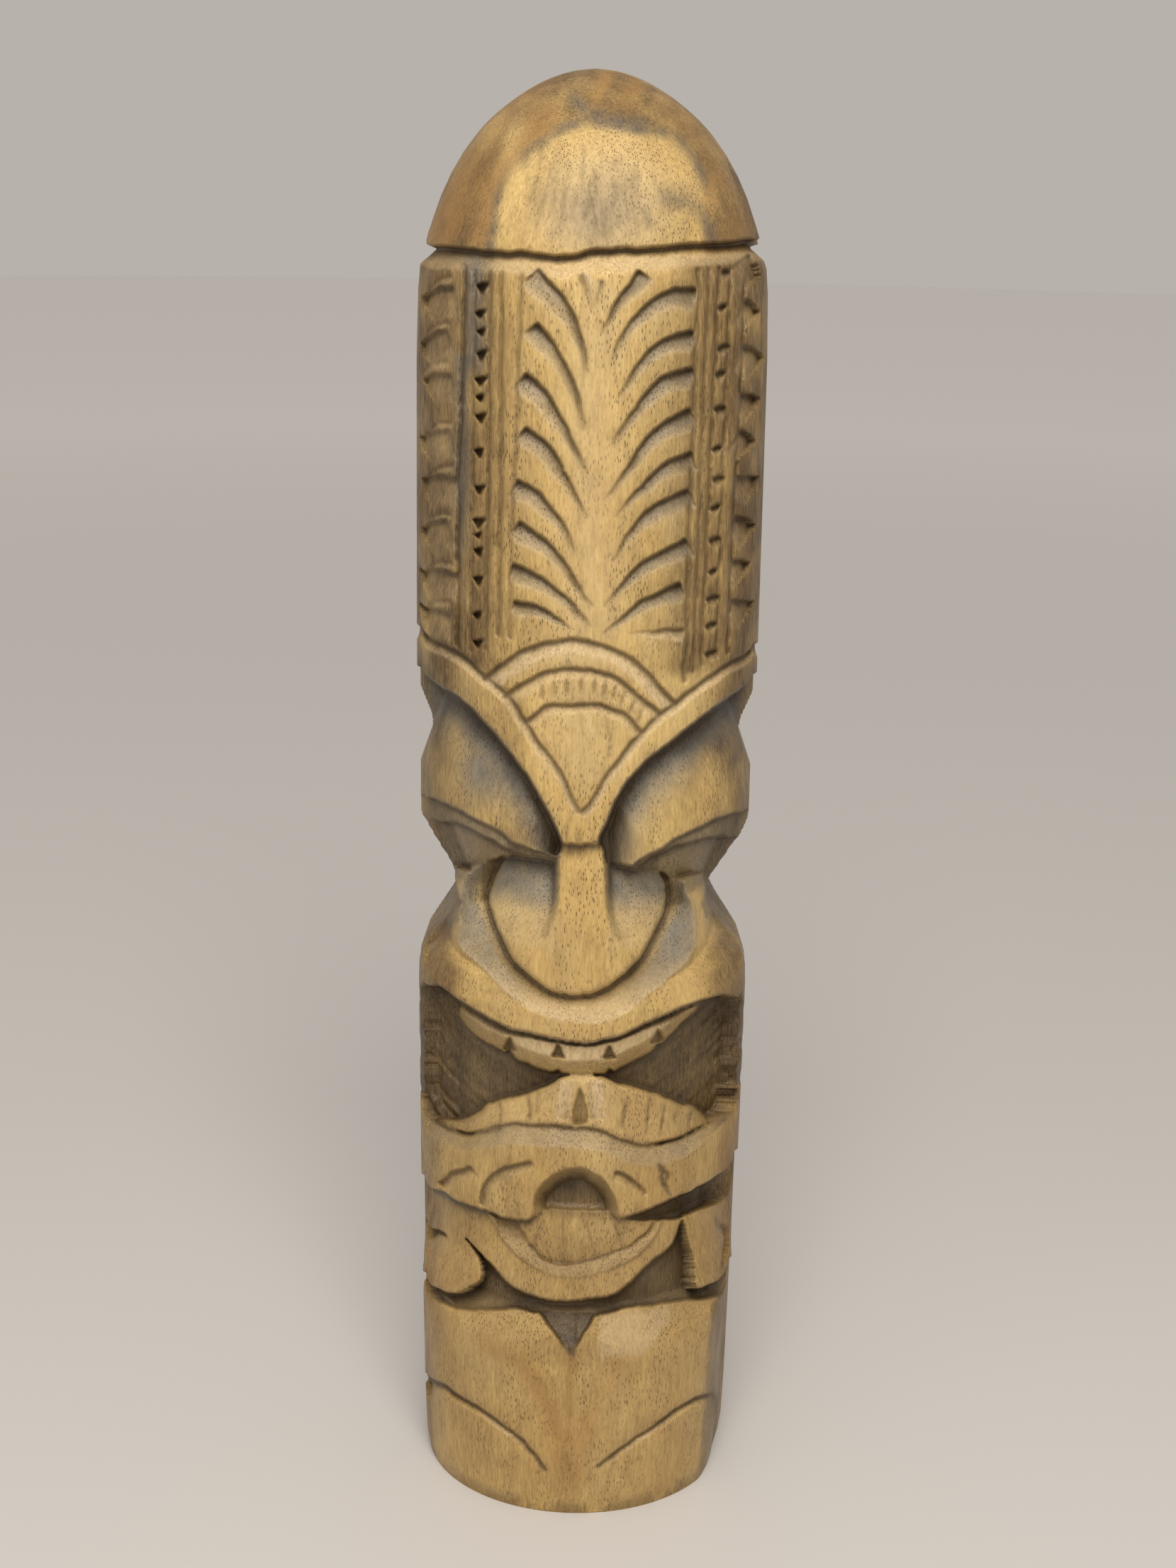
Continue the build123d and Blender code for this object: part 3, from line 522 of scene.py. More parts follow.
def waist(x, z):
    """The waist and the cheeks that swell out again below it."""
    side = np.where(x < 0, under_lid(x, z, left_edge, left_step),
                    under_lid(x, z, right_edge, right_step))
    rise = np.interp(z, [112, 116, 121.5, 125, 127, 134, 141, 143, 149],
                     [0, 0.2, 1.6, 3.6, 4.8, 8.2, 10.2, 10.4, 8])
    beside_rim = rim_depth(z) + 0.9 * np.abs(from_line(rim, x, z)[0])
    rise = np.where(z < 144.5, np.minimum(rise, beside_rim), rise)
    return np.where(z > 143.5, side, rise)


whole_front = [(-37, 112), (37, 112), (37, 158), (-37, 158)]
region = (Z > 112) & (Z < np.where(X < 0, left_edge(X), right_edge(X)))
band = window(np.array(whole_front, float), 0)
depth[band] = np.where(region[band], waist(X[band], Z[band]), depth[band])
lid(left_brow_low, left_lid, -1)
lid(right_brow_low, right_lid, 1)

# %% Stain, and painted shade under the lids
stain = np.where(region & (Z > 141), 0.55, stain)
fresh_cut_and_highlight = np.where(region & (Z > np.where(X < 0, left_step(X), right_step(X))), 0.8, fresh_cut_and_highlight)
# Dark lines under the lid's edge and its step, darkness near the nose and below the step: painted shade.
for edge, step in ((left_edge, left_step), (right_edge, right_step)):
    mine = region & (Z > 140) & ((X < 0) == (edge is left_edge))
    for line_height, strength in ((edge, 1.0), (step, 1.0)):
        dark_line = strength * np.exp(-(((Z - line_height(X) + 0.25) / 0.6) ** 2))
        dirt_and_shade = np.where(mine, np.maximum(dirt_and_shade, dark_line), dirt_and_shade)
    dirt_and_shade = np.where(mine & (np.abs(X) < 15), np.maximum(dirt_and_shade, 0.8), dirt_and_shade)
    dirt_and_shade = np.where(mine & (Z < step(X)), np.maximum(dirt_and_shade, 0.35), dirt_and_shade)
print("waist:", round(depth.max(), 1), "mm deep")

# %% [markdown]
# ## Nose, funnel and upper lip
# The nose keeps nearly the block's full thickness on its rounded tip, and its ridge leans
# back a little towards the brow. Its wings lean back much more, towards the lids. Round it the
# wood slopes in from a rim, like half a funnel, and shows the blue-grey stain inside.

# %% Funnel and nose
nose_line = [(-16, 148.5), (-17.3, 144.5), (-19, 140), (-19, 137.5), (-17.5, 133.5), (-15, 128),
             (-12, 125), (-9, 122.5), (-5, 120.7), (0, 120.4), (4, 121.5), (7, 123.5), (10, 126),
             (12.5, 129), (14.5, 133.5), (16.5, 137.5), (16.5, 142), (15, 145.8)]
nose_edge = curve(nose_line)


def funnel(x, z):
    """Slopes in from the rim towards the nose."""
    from_rim = np.abs(from_line(rim, x, z)[0])
    from_nose = np.abs(from_line(nose_edge, x, z)[0])
    share = np.clip(from_rim / (from_rim + from_nose + 0.01), 0, 1)
    return rim_depth(z) + share * np.interp(z, [114, 121, 128, 136, 145], [3.6, 4.0, 4.8, 5.8, 5.6])


# The dark ring at the nose's foot and the darker upper funnel between the wings and the lids are painted
# shade.
patch(np.vstack([rim, nose_edge[::-1]]), funnel,
      pale=lambda x, z: np.clip(1 - np.abs(from_line(rim, x, z)[0]) / 5.5, 0.2, 1),
      grey=lambda x, z: np.interp(z, [117, 122, 128, 146], [0.05, 0.5, 0.9, 0.95])
      * np.clip(from_line(nose_edge, x, z)[0] ** 2 / 9, 0.3, 1),
      grime_and_shade=lambda x, z: np.clip(0.4 * np.exp(-((from_line(nose_edge, x, z)[0] / 0.8) ** 2))
                                + 0.6 * (z > 138) * (np.abs(x) < 20.6), 0, 0.8))

# %% Nose
def ridge_half(z):
    """Half-width of the flat ridge of the nose at a height."""
    return np.interp(z, [128, 130.5, 134, 137.5, 143, 148, 153], [9.5, 7.4, 6.2, 4.9, 4.4, 4.3, 4.0])


def nose_face(x, z):
    """Ridge at the front, wings leaning back above the nostrils, rounded tip."""
    off_ridge = np.clip(np.abs(x + 0.3) - ridge_half(z), 0, None)
    lean = np.interp(z, [127, 131, 136, 142, 149], [0.0, 0.35, 1.7, 4.0, 7.2])
    wing = lean * np.clip(off_ridge / 1.3, 0, 1) + 0.13 * off_ridge
    edge = np.abs(from_line(nose_edge, x, z)[0])
    rounded = 0.6 * np.clip(1 - edge / 1.6, 0, 1) ** 2
    ridge = np.interp(z, [120, 130, 140, 150.5], [0.2, 0.3, 0.9, 2.2])
    return wing + rounded + ridge


nose_outline = np.vstack([nose_edge, [(9, 147.5), (4.2, 148.5), (3.5, 152.3), (-4.4, 152.3),
                                      (-5, 148.5), (-9, 149)]])
# Dark band under the brow's point and along the edges of the ridge: painted shade in the creases.
patch(nose_outline, nose_face, pale=lambda x, z: 0.25 * (z > 130) * (np.abs(x) > 5),
      grey=lambda x, z: np.interp(z + 0.35 * np.sin(3.0 * z), [131, 138, 139.5, 142],
                                  [0.05, 0.35, 0.7, 1.0])
      * (np.abs(x + 0.3) > ridge_half(z) + 0.4),
      grime_and_shade=lambda x, z: 0.8 * np.exp(-((z - 151.8) / 0.8) ** 2)
      + 0.25 * np.exp(-(((np.abs(x + 0.3) - ridge_half(z) - 0.8) / 0.8) ** 2)) * (z > 132))
print("nose:", round(np.ptp(nose_edge[:, 0]), 1), "mm wide")

# %% [markdown]
# ## Upper lip
# The upper lip is full-thickness wood between the funnel and the mouth. Only its lower edge
# needs a line: the mouth is cut away below it.

# %% Upper lip
lip_low = [(-30.5, 115.2), (-25, 114.5), (-20, 113), (-15, 111.7), (-10, 111), (-5, 110.4),
           (1, 109.7), (6, 110.7), (10, 112), (15, 114), (20, 115.2), (25.5, 115.4), (30, 114.2)]
print("funnel and nose done, deepest", round(depth[(Z > 112) & (Z < 150)].max(), 1), "mm")

# %% [markdown]
# ## Mouth and teeth
# Between the lips the wood is cut about 9 mm deep at each side, with rasp marks on the
# cheek walls. The upper teeth are a short row of facets under the lip; the lower teeth
# are one arched plate with a few knife cuts and one small leaf in the middle.

# %% Mouth hollow
mouth_edge = curve([(-30.5, 115.2), (-34.5, 110), (-36.2, 100), (-36.4, 91), (-34.5, 84),
                    (-31, 83.2), (-25, 84.5), (-21, 86.5), (-17, 89.2), (-12, 90.7), (-5, 91.2),
                    (0, 91), (4, 90.5), (9, 88), (14, 86), (19, 85.7), (24, 86), (29, 86.9),
                    (33.5, 86.8), (36.2, 91), (36.4, 100), (34.5, 108), (30, 114.2)])
mouth_outline = np.vstack([mouth_edge, curve(lip_low)[::-1]])


def mouth_floor(x, z):
    """Deepest beside the teeth, coming out at the corners."""
    from_side = np.clip(35.2 - np.abs(x), 0, None)
    floor = np.interp(from_side, [0, 0.3, 1.2, 2.2, 5.2, 8.2, 10.2, 15.2, 20.2],
                      [0, 0.3, 0.9, 1.7, 4.1, 6.1, 7.3, 9.25, 9.6])
    rasped = hand_waves(3, x * 0.6 + 0.4 * z, z - 0.5 * np.abs(x), 5, 1.3)
    return floor + 0.18 * rasped * np.clip(from_side / 4, 0, 1)


# The mouth hollow is painted dark: dirt and painted shade in the deep cut.
patch(mouth_outline, mouth_floor, pale=0, grey=0.25,
      grime_and_shade=lambda x, z: 0.9 + 0.1 * hand_waves(41, x * 0.6 + 0.4 * z, z - 0.5 * np.abs(x), 3, 0.9))
print("mouth:", round(np.ptp(mouth_edge[:, 0]), 1), "mm wide")

# %% [markdown]
# ## Lower teeth
# The lower teeth are one arched plate that leans back to its top edge, with thin knife cuts
# for the gaps and one small pointed leaf in the middle. It's a patch laid over the hollow.

# %% Lower teeth plate
lower_top = [(-24.5, 88), (-21, 91), (-19, 93.5), (-15, 96), (-10, 98.3), (-6, 100.5), (-3.5, 102.4),
             (0, 102.8), (4.5, 102.4), (6.5, 101.5), (10, 100), (14, 98.2), (18, 96), (21, 93.7),
             (24, 91.5), (27.5, 87)]
lower_base = [(-31, 83.8), (-25, 84.5), (-21, 86.5), (-17, 89.2), (-12, 90.7), (-5, 91.2), (0, 91),
              (4, 90.5), (9, 88), (14, 86), (19, 85.7), (24, 86), (29, 86.8)]
top_of_plate, base_of_plate = along(lower_top), along(lower_base)


def plate(x, z):
    """The plate leans back to its top edge."""
    share = np.clip((z - base_of_plate(x)) / (top_of_plate(x) - base_of_plate(x) + 0.01), 0, 1)
    near_top = np.clip(1 - (top_of_plate(x) - z) / 1.4, 0, 1)
    return 1.6 + 1.9 * share + 1.1 * near_top + 0.0022 * x**2


patch(np.vstack([curve(lower_base), curve(lower_top)[::-1]]), plate, pale=0.15, grey=0,
      grime_and_shade=lambda x, z: 0.35 * np.clip((np.abs(x) - 14) / 12, 0, 1))
for points, width, deep in (
    ([(-10.7, 97.5), (-10.4, 91.2)], 0.9, 3.4), ([(-8.6, 98.5), (-8.8, 93.5)], 0.6, 2.8),
    ([(-16.6, 94.5), (-16.4, 90)], 0.6, 3.4), ([(9.4, 97), (8.9, 90.2)], 0.8, 3.2),
    ([(14.5, 97), (13.8, 89.5)], 0.7, 3.9), ([(17.6, 94.5), (16.9, 87.8)], 0.7, 3.7),
    ([(23.5, 91.4), (22.6, 87.2)], 0.7, 4.0), ([(20.2, 92.5), (19.8, 88.6)], 0.5, 3.4),
):
    v_line(points, width, deep + 1.0, pale=0.2, dark=0.7, ends=0.25)
patch([(-4, 101.8), (-1.4, 101), (-1.9, 96), (-2.4, 92.8), (-4.9, 92.8)],
      lambda x, z: 2.5 + 0.45 * (x + 4.4), pale=1.0)
patch([(4.6, 101.8), (1.4, 101), (1.9, 96), (2.4, 92.8), (5.0, 92.8)],
      lambda x, z: 2.5 - 0.45 * (x - 4.8), pale=1.0)
patch([(0, 101), (0.7, 98), (1.3, 95.5), (1.7, 93), (1.2, 91.9), (-1.3, 91.9), (-1.6, 94),
       (-1.1, 96.5), (-0.6, 98.6)],
      lambda x, z: 4.4 - 0.7 * np.abs(x), pale=0.2, grime_and_shade=0.30)
# The two deep trenches at the plate's foot are painted dark: painted shade.
v_line([(13, 86.5), (19, 85.6), (24, 85.9), (29, 86.6), (31, 87)], 2.5, 5.4, pale=0, dark=1.0, ends=0.25)
v_line([(-32, 82.6), (-29, 83.6), (-25, 84.6), (-20, 86.8), (-16, 89)], 2.5, 5.2, pale=0, dark=1.0,
       ends=0.25)
print("plate: from", base_of_plate(0), "to", top_of_plate(0), "mm in the middle")

# %% [markdown]
# ## Upper teeth
# Five short upright facets hang under the lip, then a bevel runs to the cutting edge. The
# gaps are four small triangles, each two knife cuts that meet at the top.

# %% Upper teeth
upper_base = [(-25.5, 110.8), (-24, 109.3), (-21.7, 107.9), (-18.5, 107), (-15.4, 106.3),
              (-14.5, 107), (-13.4, 105.2), (-9.7, 103.9), (-5.6, 103.2), (-4.7, 104), (-3.8, 102.9),
              (0.5, 102.6), (5, 103.0), (5.7, 104.2), (6.6, 103.5), (10, 105), (14.6, 107),
              (15.5, 108.2), (16.6, 108.4), (20.5, 111.5), (24.5, 114.3)]
teeth_low, teeth_high = along(upper_base), along(lip_low)


def teeth(x, z):
    """Short upright faces below the lip, then a bevel to the cutting edge."""
    below_lip = np.clip(teeth_high(x) - z, 0, None)
    above_edge = np.clip(z - teeth_low(x), 0, None)
    gap = 2.4 * np.clip(1 - below_lip / np.interp(np.abs(x), [0, 10, 20], [0.7, 1.1, 2.2]), 0, 1)
    bevel = 0.8 * np.clip(3.3 - above_edge, 0, None)
    return 2.2 + np.maximum(gap, bevel) + 0.004 * x**2


# The teeth's upright faces are painted pale, a painted highlight against the lip's shadow; the gaps between
# them are painted dark as shade.
patch(np.array(upper_base + lip_low[-2:0:-1]), teeth,
      pale=lambda x, z: 1.0 * (z - teeth_low(x) > 3.2), grey=0,
      grime_and_shade=lambda x, z: 0.22 * (z - teeth_low(x) < 3.2))
for x, top in ((-14.5, 110.2), (-4.7, 109.8), (5.7, 109.6), (15.5, 112)):
    patch([(x, top), (x - 1.4, top - 3.2), (x + 1.4, top - 3.2)],
          lambda x, z: teeth(x, z) + 1.9, pale=0, grime_and_shade=0.6)
# Dark line under the lip's lower edge: painted shadow of the lip.
line = curve(lip_low)
here = window(line, 2)
s = from_line(line, X[here], Z[here])[0]
dirt_and_shade[here] = np.maximum(dirt_and_shade[here], 0.8 * np.exp(-(((s + 0.2) / 0.5) ** 2)))
print("mouth done, deepest", round(depth[(Z > 84) & (Z < 114)].max(), 1), "mm")

# %% [markdown]
# ## Lower lip, arch and tongue
# The lower lip starts with a grey slope under the teeth and ends in a free edge, below
# which everything is set back. In its middle an arch opens over the tongue.

# %% Lower lip
lip_slope_low = [(-34, 78), (-30, 79.5), (-25, 80.6), (-20, 83), (-15, 85.2), (-8, 86.3), (0, 86.2),
                 (6, 85), (11, 82.3), (16, 80.8), (21, 81), (26, 82.2), (31, 83.5), (34, 84)]
slope_edge = along(lip_slope_low)
in_slope = (Z < base_of_plate(X)) & (Z > slope_edge(X)) & (np.abs(X) < 34.5)
slope_share = np.clip((Z - slope_edge(X)) / (base_of_plate(X) - slope_edge(X) + 0.01), 0, 1)
depth = np.where(in_slope, np.maximum(depth * (np.abs(X) > 31), 2.9 * slope_share), depth)
fresh_cut_and_highlight = np.where(in_slope, 0.25 * (1 - np.clip((np.abs(X) - 12) / 18, 0, 1)), fresh_cut_and_highlight)
stain = np.where(in_slope, 0.45, stain)
# Dark line where the slope meets the plate: painted shade in the crease.
dirt_and_shade = np.maximum(dirt_and_shade, 0.75 * np.exp(-(((Z - base_of_plate(X)) / 0.6) ** 2)) * (np.abs(X) < 31))

lip_edge_left = [(-37, 63.8), (-33.5, 65), (-29.5, 68), (-26, 68.3), (-20, 69), (-15, 68.7),
                 (-11, 69), (-9.5, 70.3)]
lip_edge_right = [(8.8, 70), (10.5, 70.4), (14, 71), (19, 72.2), (24, 72.6), (29, 72.7),
                  (32.5, 71.5), (37, 71)]
arch_top = [(-9.5, 70.3), (-9.1, 75), (-7, 78.5), (-4, 80.9), (-1, 81.8), (2, 81.5), (5, 79.2),
            (7, 76), (8.2, 72.5), (8.8, 70)]
lip_edge = np.vstack([curve(lip_edge_left), curve(arch_top)[1:], curve(lip_edge_right)[1:]])
for points, width, deep, taper in (
    ([(-20.5, 70), (-19.8, 75), (-15.5, 79.8), (-10, 82.6)], 4.2, 1.9, (0.45, 0.45)),
    ([(-30, 69.5), (-27, 74.5), (-22.5, 77.9)], 3.6, 1.8, (0.45, 0.6)),
):
    stroke(points, width, deep, taper=taper, pale=0.3, dark=0.7, grey=0.3)
stroke([(7.6, 80.8), (9, 80.3), (12, 77.7), (14.2, 74.8)], 3.6, 1.8, taper=(0.7, 0.3), pale=0.4, dark=0.7,
       grey=0.2)
v_line([(16.6, 81.4), (17.7, 79), (17.6, 77.2), (19.5, 73)], 1.7, 1.3, dark=0.85, ends=0.3)
v_line([(17.2, 79.8), (18.6, 78), (18.2, 75.5)], 1.4, 1.1, dark=0.8, ends=0.3)
print("lip: arch", round(arch_top[-1][0] - arch_top[0][0], 1), "mm wide")

# %% [markdown]
# ## Tongue and chin
# The tongue is a low tile that fills the arch from below, and a crescent-shaped chin holds
# it like a dish. Their shared line is drawn first. Then all the wood below the lip is set
# back, so that the lip throws a shadow on them.

# %% Tongue outline
tongue_low = [(-10, 63.6), (-7.5, 61), (-4, 59.8), (0, 60.2), (5, 61.5), (10, 63), (14, 65.3),
              (16, 68)]
tongue_outline = np.vstack([curve(tongue_low), [(12.5, 70.6), (8.6, 70), (6.4, 71.9), (5, 72.5),
                                                (-5.8, 72.5), (-8, 71), (-9.3, 69.5)]])
print("tongue: lowest at", tongue_outline[:, 1].min().round(1), "mm")

# %% Chin, set back under the lip
chin_low = [(-24, 60.6), (-21.5, 59), (-17.5, 56), (-13.5, 52.7), (-8, 51.2), (-4, 51), (1, 51.5),
            (6.5, 52.2), (9, 53), (12, 55.5), (16, 59), (20, 61.7), (22, 66.5)]
below_lip_edge = (Z < np.interp(X, lip_edge[:, 0], lip_edge[:, 1])) & (Z > 40) & (np.abs(X) < 36)
set_back = np.interp(Z, [40, 46, 52, 60, 68, 73], [0.0, 0.5, 1.6, 2.8, 3.6, 3.9])
depth = np.where(below_lip_edge & (Z > 43), set_back, depth)
under_lip = np.interp(X, lip_edge[:, 0], lip_edge[:, 1]) - Z
# Darkening just under the lip's free edge: painted shadow of the lip.
dirt_and_shade = np.where(below_lip_edge, np.maximum(0.9 * np.exp(-((under_lip / 1.4) ** 2)), 0), dirt_and_shade)
print("chin: lowest at", min(z for _, z in chin_low), "mm")

# %% [markdown]
# ## Arch over the tongue
# The arch is a dark opening above the tongue. Its wall is rounded, so the depth grows with
# the distance from its own outline. The tongue's fan of four thin cuts comes after it.

# %% Arch and tongue
# The arch's inside and the top of the tongue are darkened: painted shade under the arch.
patch(np.vstack([curve(arch_top), [(6.4, 70.5), (5, 72.3), (-6, 72.3), (-8, 70.5)]]),
      lambda x, z: np.interp(z, [71.5, 74, 82], [4.4, 6.0, 6.4])
      * np.clip(np.abs(from_line(curve(arch_top), x, z)[0]) / 2.6, 0.12, 1) ** 0.8,
      pale=0, grey=0.2, grime_and_shade=lambda x, z: np.interp(z, [71.5, 74.5, 77], [0.35, 0.8, 0.95])
      * np.clip(np.abs(from_line(curve(arch_top), x, z)[0]) / 2.0, 0.45, 1))
patch(tongue_outline, lambda x, z: np.interp(z, [59, 66, 72.5], [4.3, 3.3, 3.7]),
      pale=0.05, grime_and_shade=lambda x, z: 0.5 * np.clip((z - 69.5) / 2.5, 0, 1) + 0.08)
for points in ([(-9, 62.3), (-7.6, 70)], [(-3.4, 60.6), (-3.0, 70.5)], [(3.7, 61.7), (1.4, 70.6)],
               [(9.3, 64), (7.4, 70)]):
    v_line(points, 1.0, 4.4, pale=0.1, dark=0.45, ends=0.15)
chin_slope = [(-19, 68.3), (-17.5, 66.5), (-16, 63.7), (-12.5, 60.3), (-8, 57.8), (-3, 56.5),
              (2, 57), (7, 58.2), (11, 60), (14.5, 62.6), (17, 66), (18.2, 70)]
chin_mid = along(chin_slope)


def chin_face(x, z):
    """The chin's rim slopes from the tongue down to a rounded front."""
    inner = np.clip(z - chin_mid(x), 0, None)
    return 2.0 + 0.45 * inner + 0.02 * np.clip(chin_mid(x) - z, 0, None)


patch(np.vstack([curve(chin_slope), curve(tongue_low)[::-1], [(-12.5, 68)]]), chin_face,
      pale=0.25, grime_and_shade=lambda x, z: 0.25)
v_line(tongue_low, 1.1, 4.8, pale=0, dark=0.9)

# Dark area under the right of the lip: painted shadow of the lip.
patch(curve([(8.8, 70.2), (14, 71), (19, 72.2), (24, 72.6), (29, 72.7), (33, 71.6), (36.5, 71),
             (36.5, 60), (34, 62), (31, 65), (27, 67), (22, 67.3), (17, 68.2), (12, 69.4), (8.8, 70.2)]),
      lambda x, z: 3.6 + 4.0 * np.clip((x - 9) / 12, 0, 1) * np.clip((z - 64) / 5, 0, 1),
      pale=0, grey=0.2, grime_and_shade=0.85)
print("arch: deepest", round(depth[(Z > 74) & (Z < 82) & (np.abs(X) < 8)].max(), 1), "mm")

# %% [markdown]
# ## Tusks, and the hollow under the chin
# On each side of the chin a tusk keeps its full thickness. What shapes it is the dark hollow
# round it, cut deep under the chin and running out to nothing on the belly. The hollow is
# three patches with one depth rule.

# %% Tusks and the hollow under the chin
left_hollow = np.vstack([curve([(-24, 60.6), (-21.2, 57.5), (-20.2, 53), (-23, 49), (-27.5, 45.2),
                                (-31, 43.2), (-35, 40)]),
                         curve([(-35, 38.5), (-29.5, 41.3), (-24, 43.5), (-18, 46.2), (-13, 48)]),
                         curve(chin_low[:5])[::-1]])
right_hollow = np.vstack([curve([(22, 66.5), (23.4, 60.5), (24.8, 54), (25.4, 48.8), (28, 47.4),
                                 (31, 46.4), (36, 44.6)]),
                          curve([(36, 38.5), (33, 40.5), (30, 43), (26, 45.6), (22, 47.4), (16, 48.6),
                                 (9, 49)]),
                          curve(chin_low[7:])])
middle_hollow = np.vstack([curve(chin_low[3:9]), [(10, 49), (3.6, 47.6), (-1, 38), (-7.6, 47.6),
                                                  (-13, 48)]])


def hollow(x, z):
    """Deep under the chin, running out down to the belly."""
    return np.clip(3.0 + 0.75 * (z - 43), 3.0, 8.6)


# The hollow gets darker towards the chin: painted shade under the chin.
for outline in (left_hollow, right_hollow, middle_hollow):
    patch(outline, hollow, pale=0, grey=0.6,
          grime_and_shade=lambda x, z: np.clip(0.12 + (z - 46) / 13, 0.12, 0.45))
stroke([(-36, 55), (-33, 54), (-30.5, 57.6), (-28.5, 58.5)], 2.0, 4.2, pale=0.1, dark=0.6)
v_line([(29.6, 62), (31.8, 57.5), (32.6, 54), (31.8, 48)], 1.6, 3.6, pale=0, dark=0.8, ends=0.2)
print("chin and tusks done")

# %% [markdown]
# ## Belly and legs
# The belly is plain. A V hangs from the hollow under the chin into a shallow valley, its
# shoulders slope back, and each leg is drawn by one arched knife line.

# %% Belly
hollow_foot = along([(-37, 37), (-35, 38.5), (-29.5, 41.3), (-24, 43.5), (-18, 46.2), (-13, 48),
                     (-7.6, 47.6), (3.6, 47.6), (9, 49), (16, 48.6), (22, 47.4), (26, 45.6),
                     (30, 43), (33, 40.5), (37, 37)])
shoulder = (Z < hollow_foot(X)) & (Z > 30)
lean = np.interp(Z, [36, 40, 48.5], [0.0, 0.5, 3.4])
side_lean = lean * np.clip((np.abs(X + 1) + 3) / 8, 0.2, 1)
hollow_here = depth > 3.0
depth = np.where(shoulder & ~hollow_here, np.maximum(np.where(Z > 43, 0, depth), side_lean), depth)
# The V is painted dark: painted shade in the notch.
patch([(-7.8, 48.6), (3.8, 48.6), (-1, 37.6)], lambda x, z: np.interp(z, [37.6, 48.6], [1.2, 7.4]),
      pale=0, grey=0.1, grime_and_shade=lambda x, z: np.interp(z, [38, 42, 48], [0.8, 1.0, 0.95]))
fresh_cut_and_highlight = np.where((X > 5) & (X < 20) & (Z > 37.5) & (Z < 47.6) & (X - 8 < (Z - 30) * 0.9), 0.65, fresh_cut_and_highlight)
valley_half = np.interp(Z, [8, 35.5], [0.2, 11.5])
valley = np.interp(Z, [8, 20, 36, 44], [0.2, 1.9, 3.2, 2.2]) * np.clip(
    1 - np.abs(X + 1.2) / np.clip(valley_half, 0.3, None), 0, 1)
depth = np.where((Z < 44) & (Z > 8), np.maximum(depth, valley), depth)
right_flat = 29.6 - 0.05 * (40 - Z)
on_flat = (Z < 42) & (X > right_flat)
depth = np.where(on_flat, np.maximum(depth, 0.62 * (X - right_flat)), depth)
# The right flat is darkened as painted shade, the side turned from the light; it also gets some grey stain.
dirt_and_shade = np.where(on_flat, np.maximum(dirt_and_shade, 0.38), dirt_and_shade)
stain = np.where(on_flat, 0.3, stain)
orange = np.zeros_like(X)
for points, width, strength in (
    ([(-18, 36.5), (-12, 35.5), (-7.5, 30), (-4.5, 22), (-2, 13), (-1, 9)], 2.3, 1.0),
    ([(-1, 38), (-1.3, 24), (-1, 9)], 1.0, 0.8), ([(9, 36), (5, 28), (1, 16)], 2.2, 0.5),
):
    line = curve(points)
    here = window(line, 8)
    distance = np.abs(from_line(line, X[here], Z[here])[0])
    orange[here] = np.maximum(orange[here], strength * np.exp(-((distance / width) ** 2)))
dirt_and_shade = np.maximum(dirt_and_shade, 0.28 * np.clip(orange - 0.5, 0, 1))
print("belly: valley", round(valley.max(), 1), "mm deep")

# %% [markdown]
# ## Legs
# Each leg is one arched knife line and nothing more. The line is deep at the outer side and
# runs out towards the middle, as the knife is lifted.

# %% Legs
stroke([(-35, 14), (-33.5, 15.4), (-32, 19), (-29, 21.3), (-25, 21.7), (-20, 21), (-16, 19.4),
        (-12, 17), (-9, 14), (-6, 10)], 2.7, 1.8, taper=(1, 0.4), pale=0.15, dark=0.9)
stroke([(4.5, 11), (10, 15), (15, 18), (19.5, 20), (23.5, 21.5), (27.5, 21), (30, 19), (31.5, 15.6),
        (31.8, 12)], 2.7, 1.8, taper=(0.4, 1), pale=0.15, dark=0.9)
print("drawing finished: deepest cut", round(depth.max(), 1), "mm")

# %% [markdown]
# ## Patina and stain
# The finish went brown where the skin is rounded and handled: on both sides of the
# headdress, round the cheeks and over the cap. On the cap a growth layer comes to the
# surface as a dark ring, with grey wood inside it.

# %% Brown skin, and the ring on the cap
x_out = np.abs(X)
in_headdress = (Z > 186) & (Z < 266)
outer_tone = 0.25 * np.clip((x_out - 4) / 9, 0, 1) + 0.75 * np.clip((x_out - 14) / 7, 0, 1)
patina_and_shade = np.where(in_headdress, outer_tone, patina_and_shade)
patina_and_shade = np.where((Z <= 186) & (Z > 112), np.clip((x_out - 24) / 4.5, 0, 1), patina_and_shade)
patina_and_shade = np.where((Z <= 135) & (Z > 112) & (x_out < 22), 0.12, patina_and_shade)

# %% Brown lids, pale scratches
on_lids = (Z < 181) & (Z > 150) & (Z > np.where(X < 0, left_edge(X), right_edge(X))) & (depth > 1.0)
# The lids' brown is partly painted shade under the brow: on the right lid it grows towards the brow and the
# side, and the left lid is lighter only in its middle.
left_tone = 0.80 - 0.40 * np.exp(-(((X + 19) / 6) ** 2) - (((Z - 158) / 4) ** 2))
right_tone = 0.15 + 0.5 * np.clip((Z - 164) / 8, 0, 1) + 0.5 * np.clip((X - 24) / 7, 0, 1)
patina_and_shade = np.where(on_lids, np.where(X < 0, left_tone, right_tone), patina_and_shade)
on_left_brow = (Z < 190) & (Z > 165) & (X < -12) & (depth < 1.0) & ~on_lids
patina_and_shade = np.where(on_left_brow, np.maximum(patina_and_shade, 0.42), patina_and_shade)
scratched = np.exp(-(((X + 20) / 5.5) ** 2) - (((Z - 165) / 6.5) ** 2)) * (X < 0)
scratched += 0.9 * np.exp(-(((X - 15 - 0.6 * (Z - 165)) / 4.5) ** 2) - (((Z - 165) / 7) ** 2)) * (X > 0)
stain = np.where(on_lids, np.maximum(stain, 0.9 * scratched), stain)
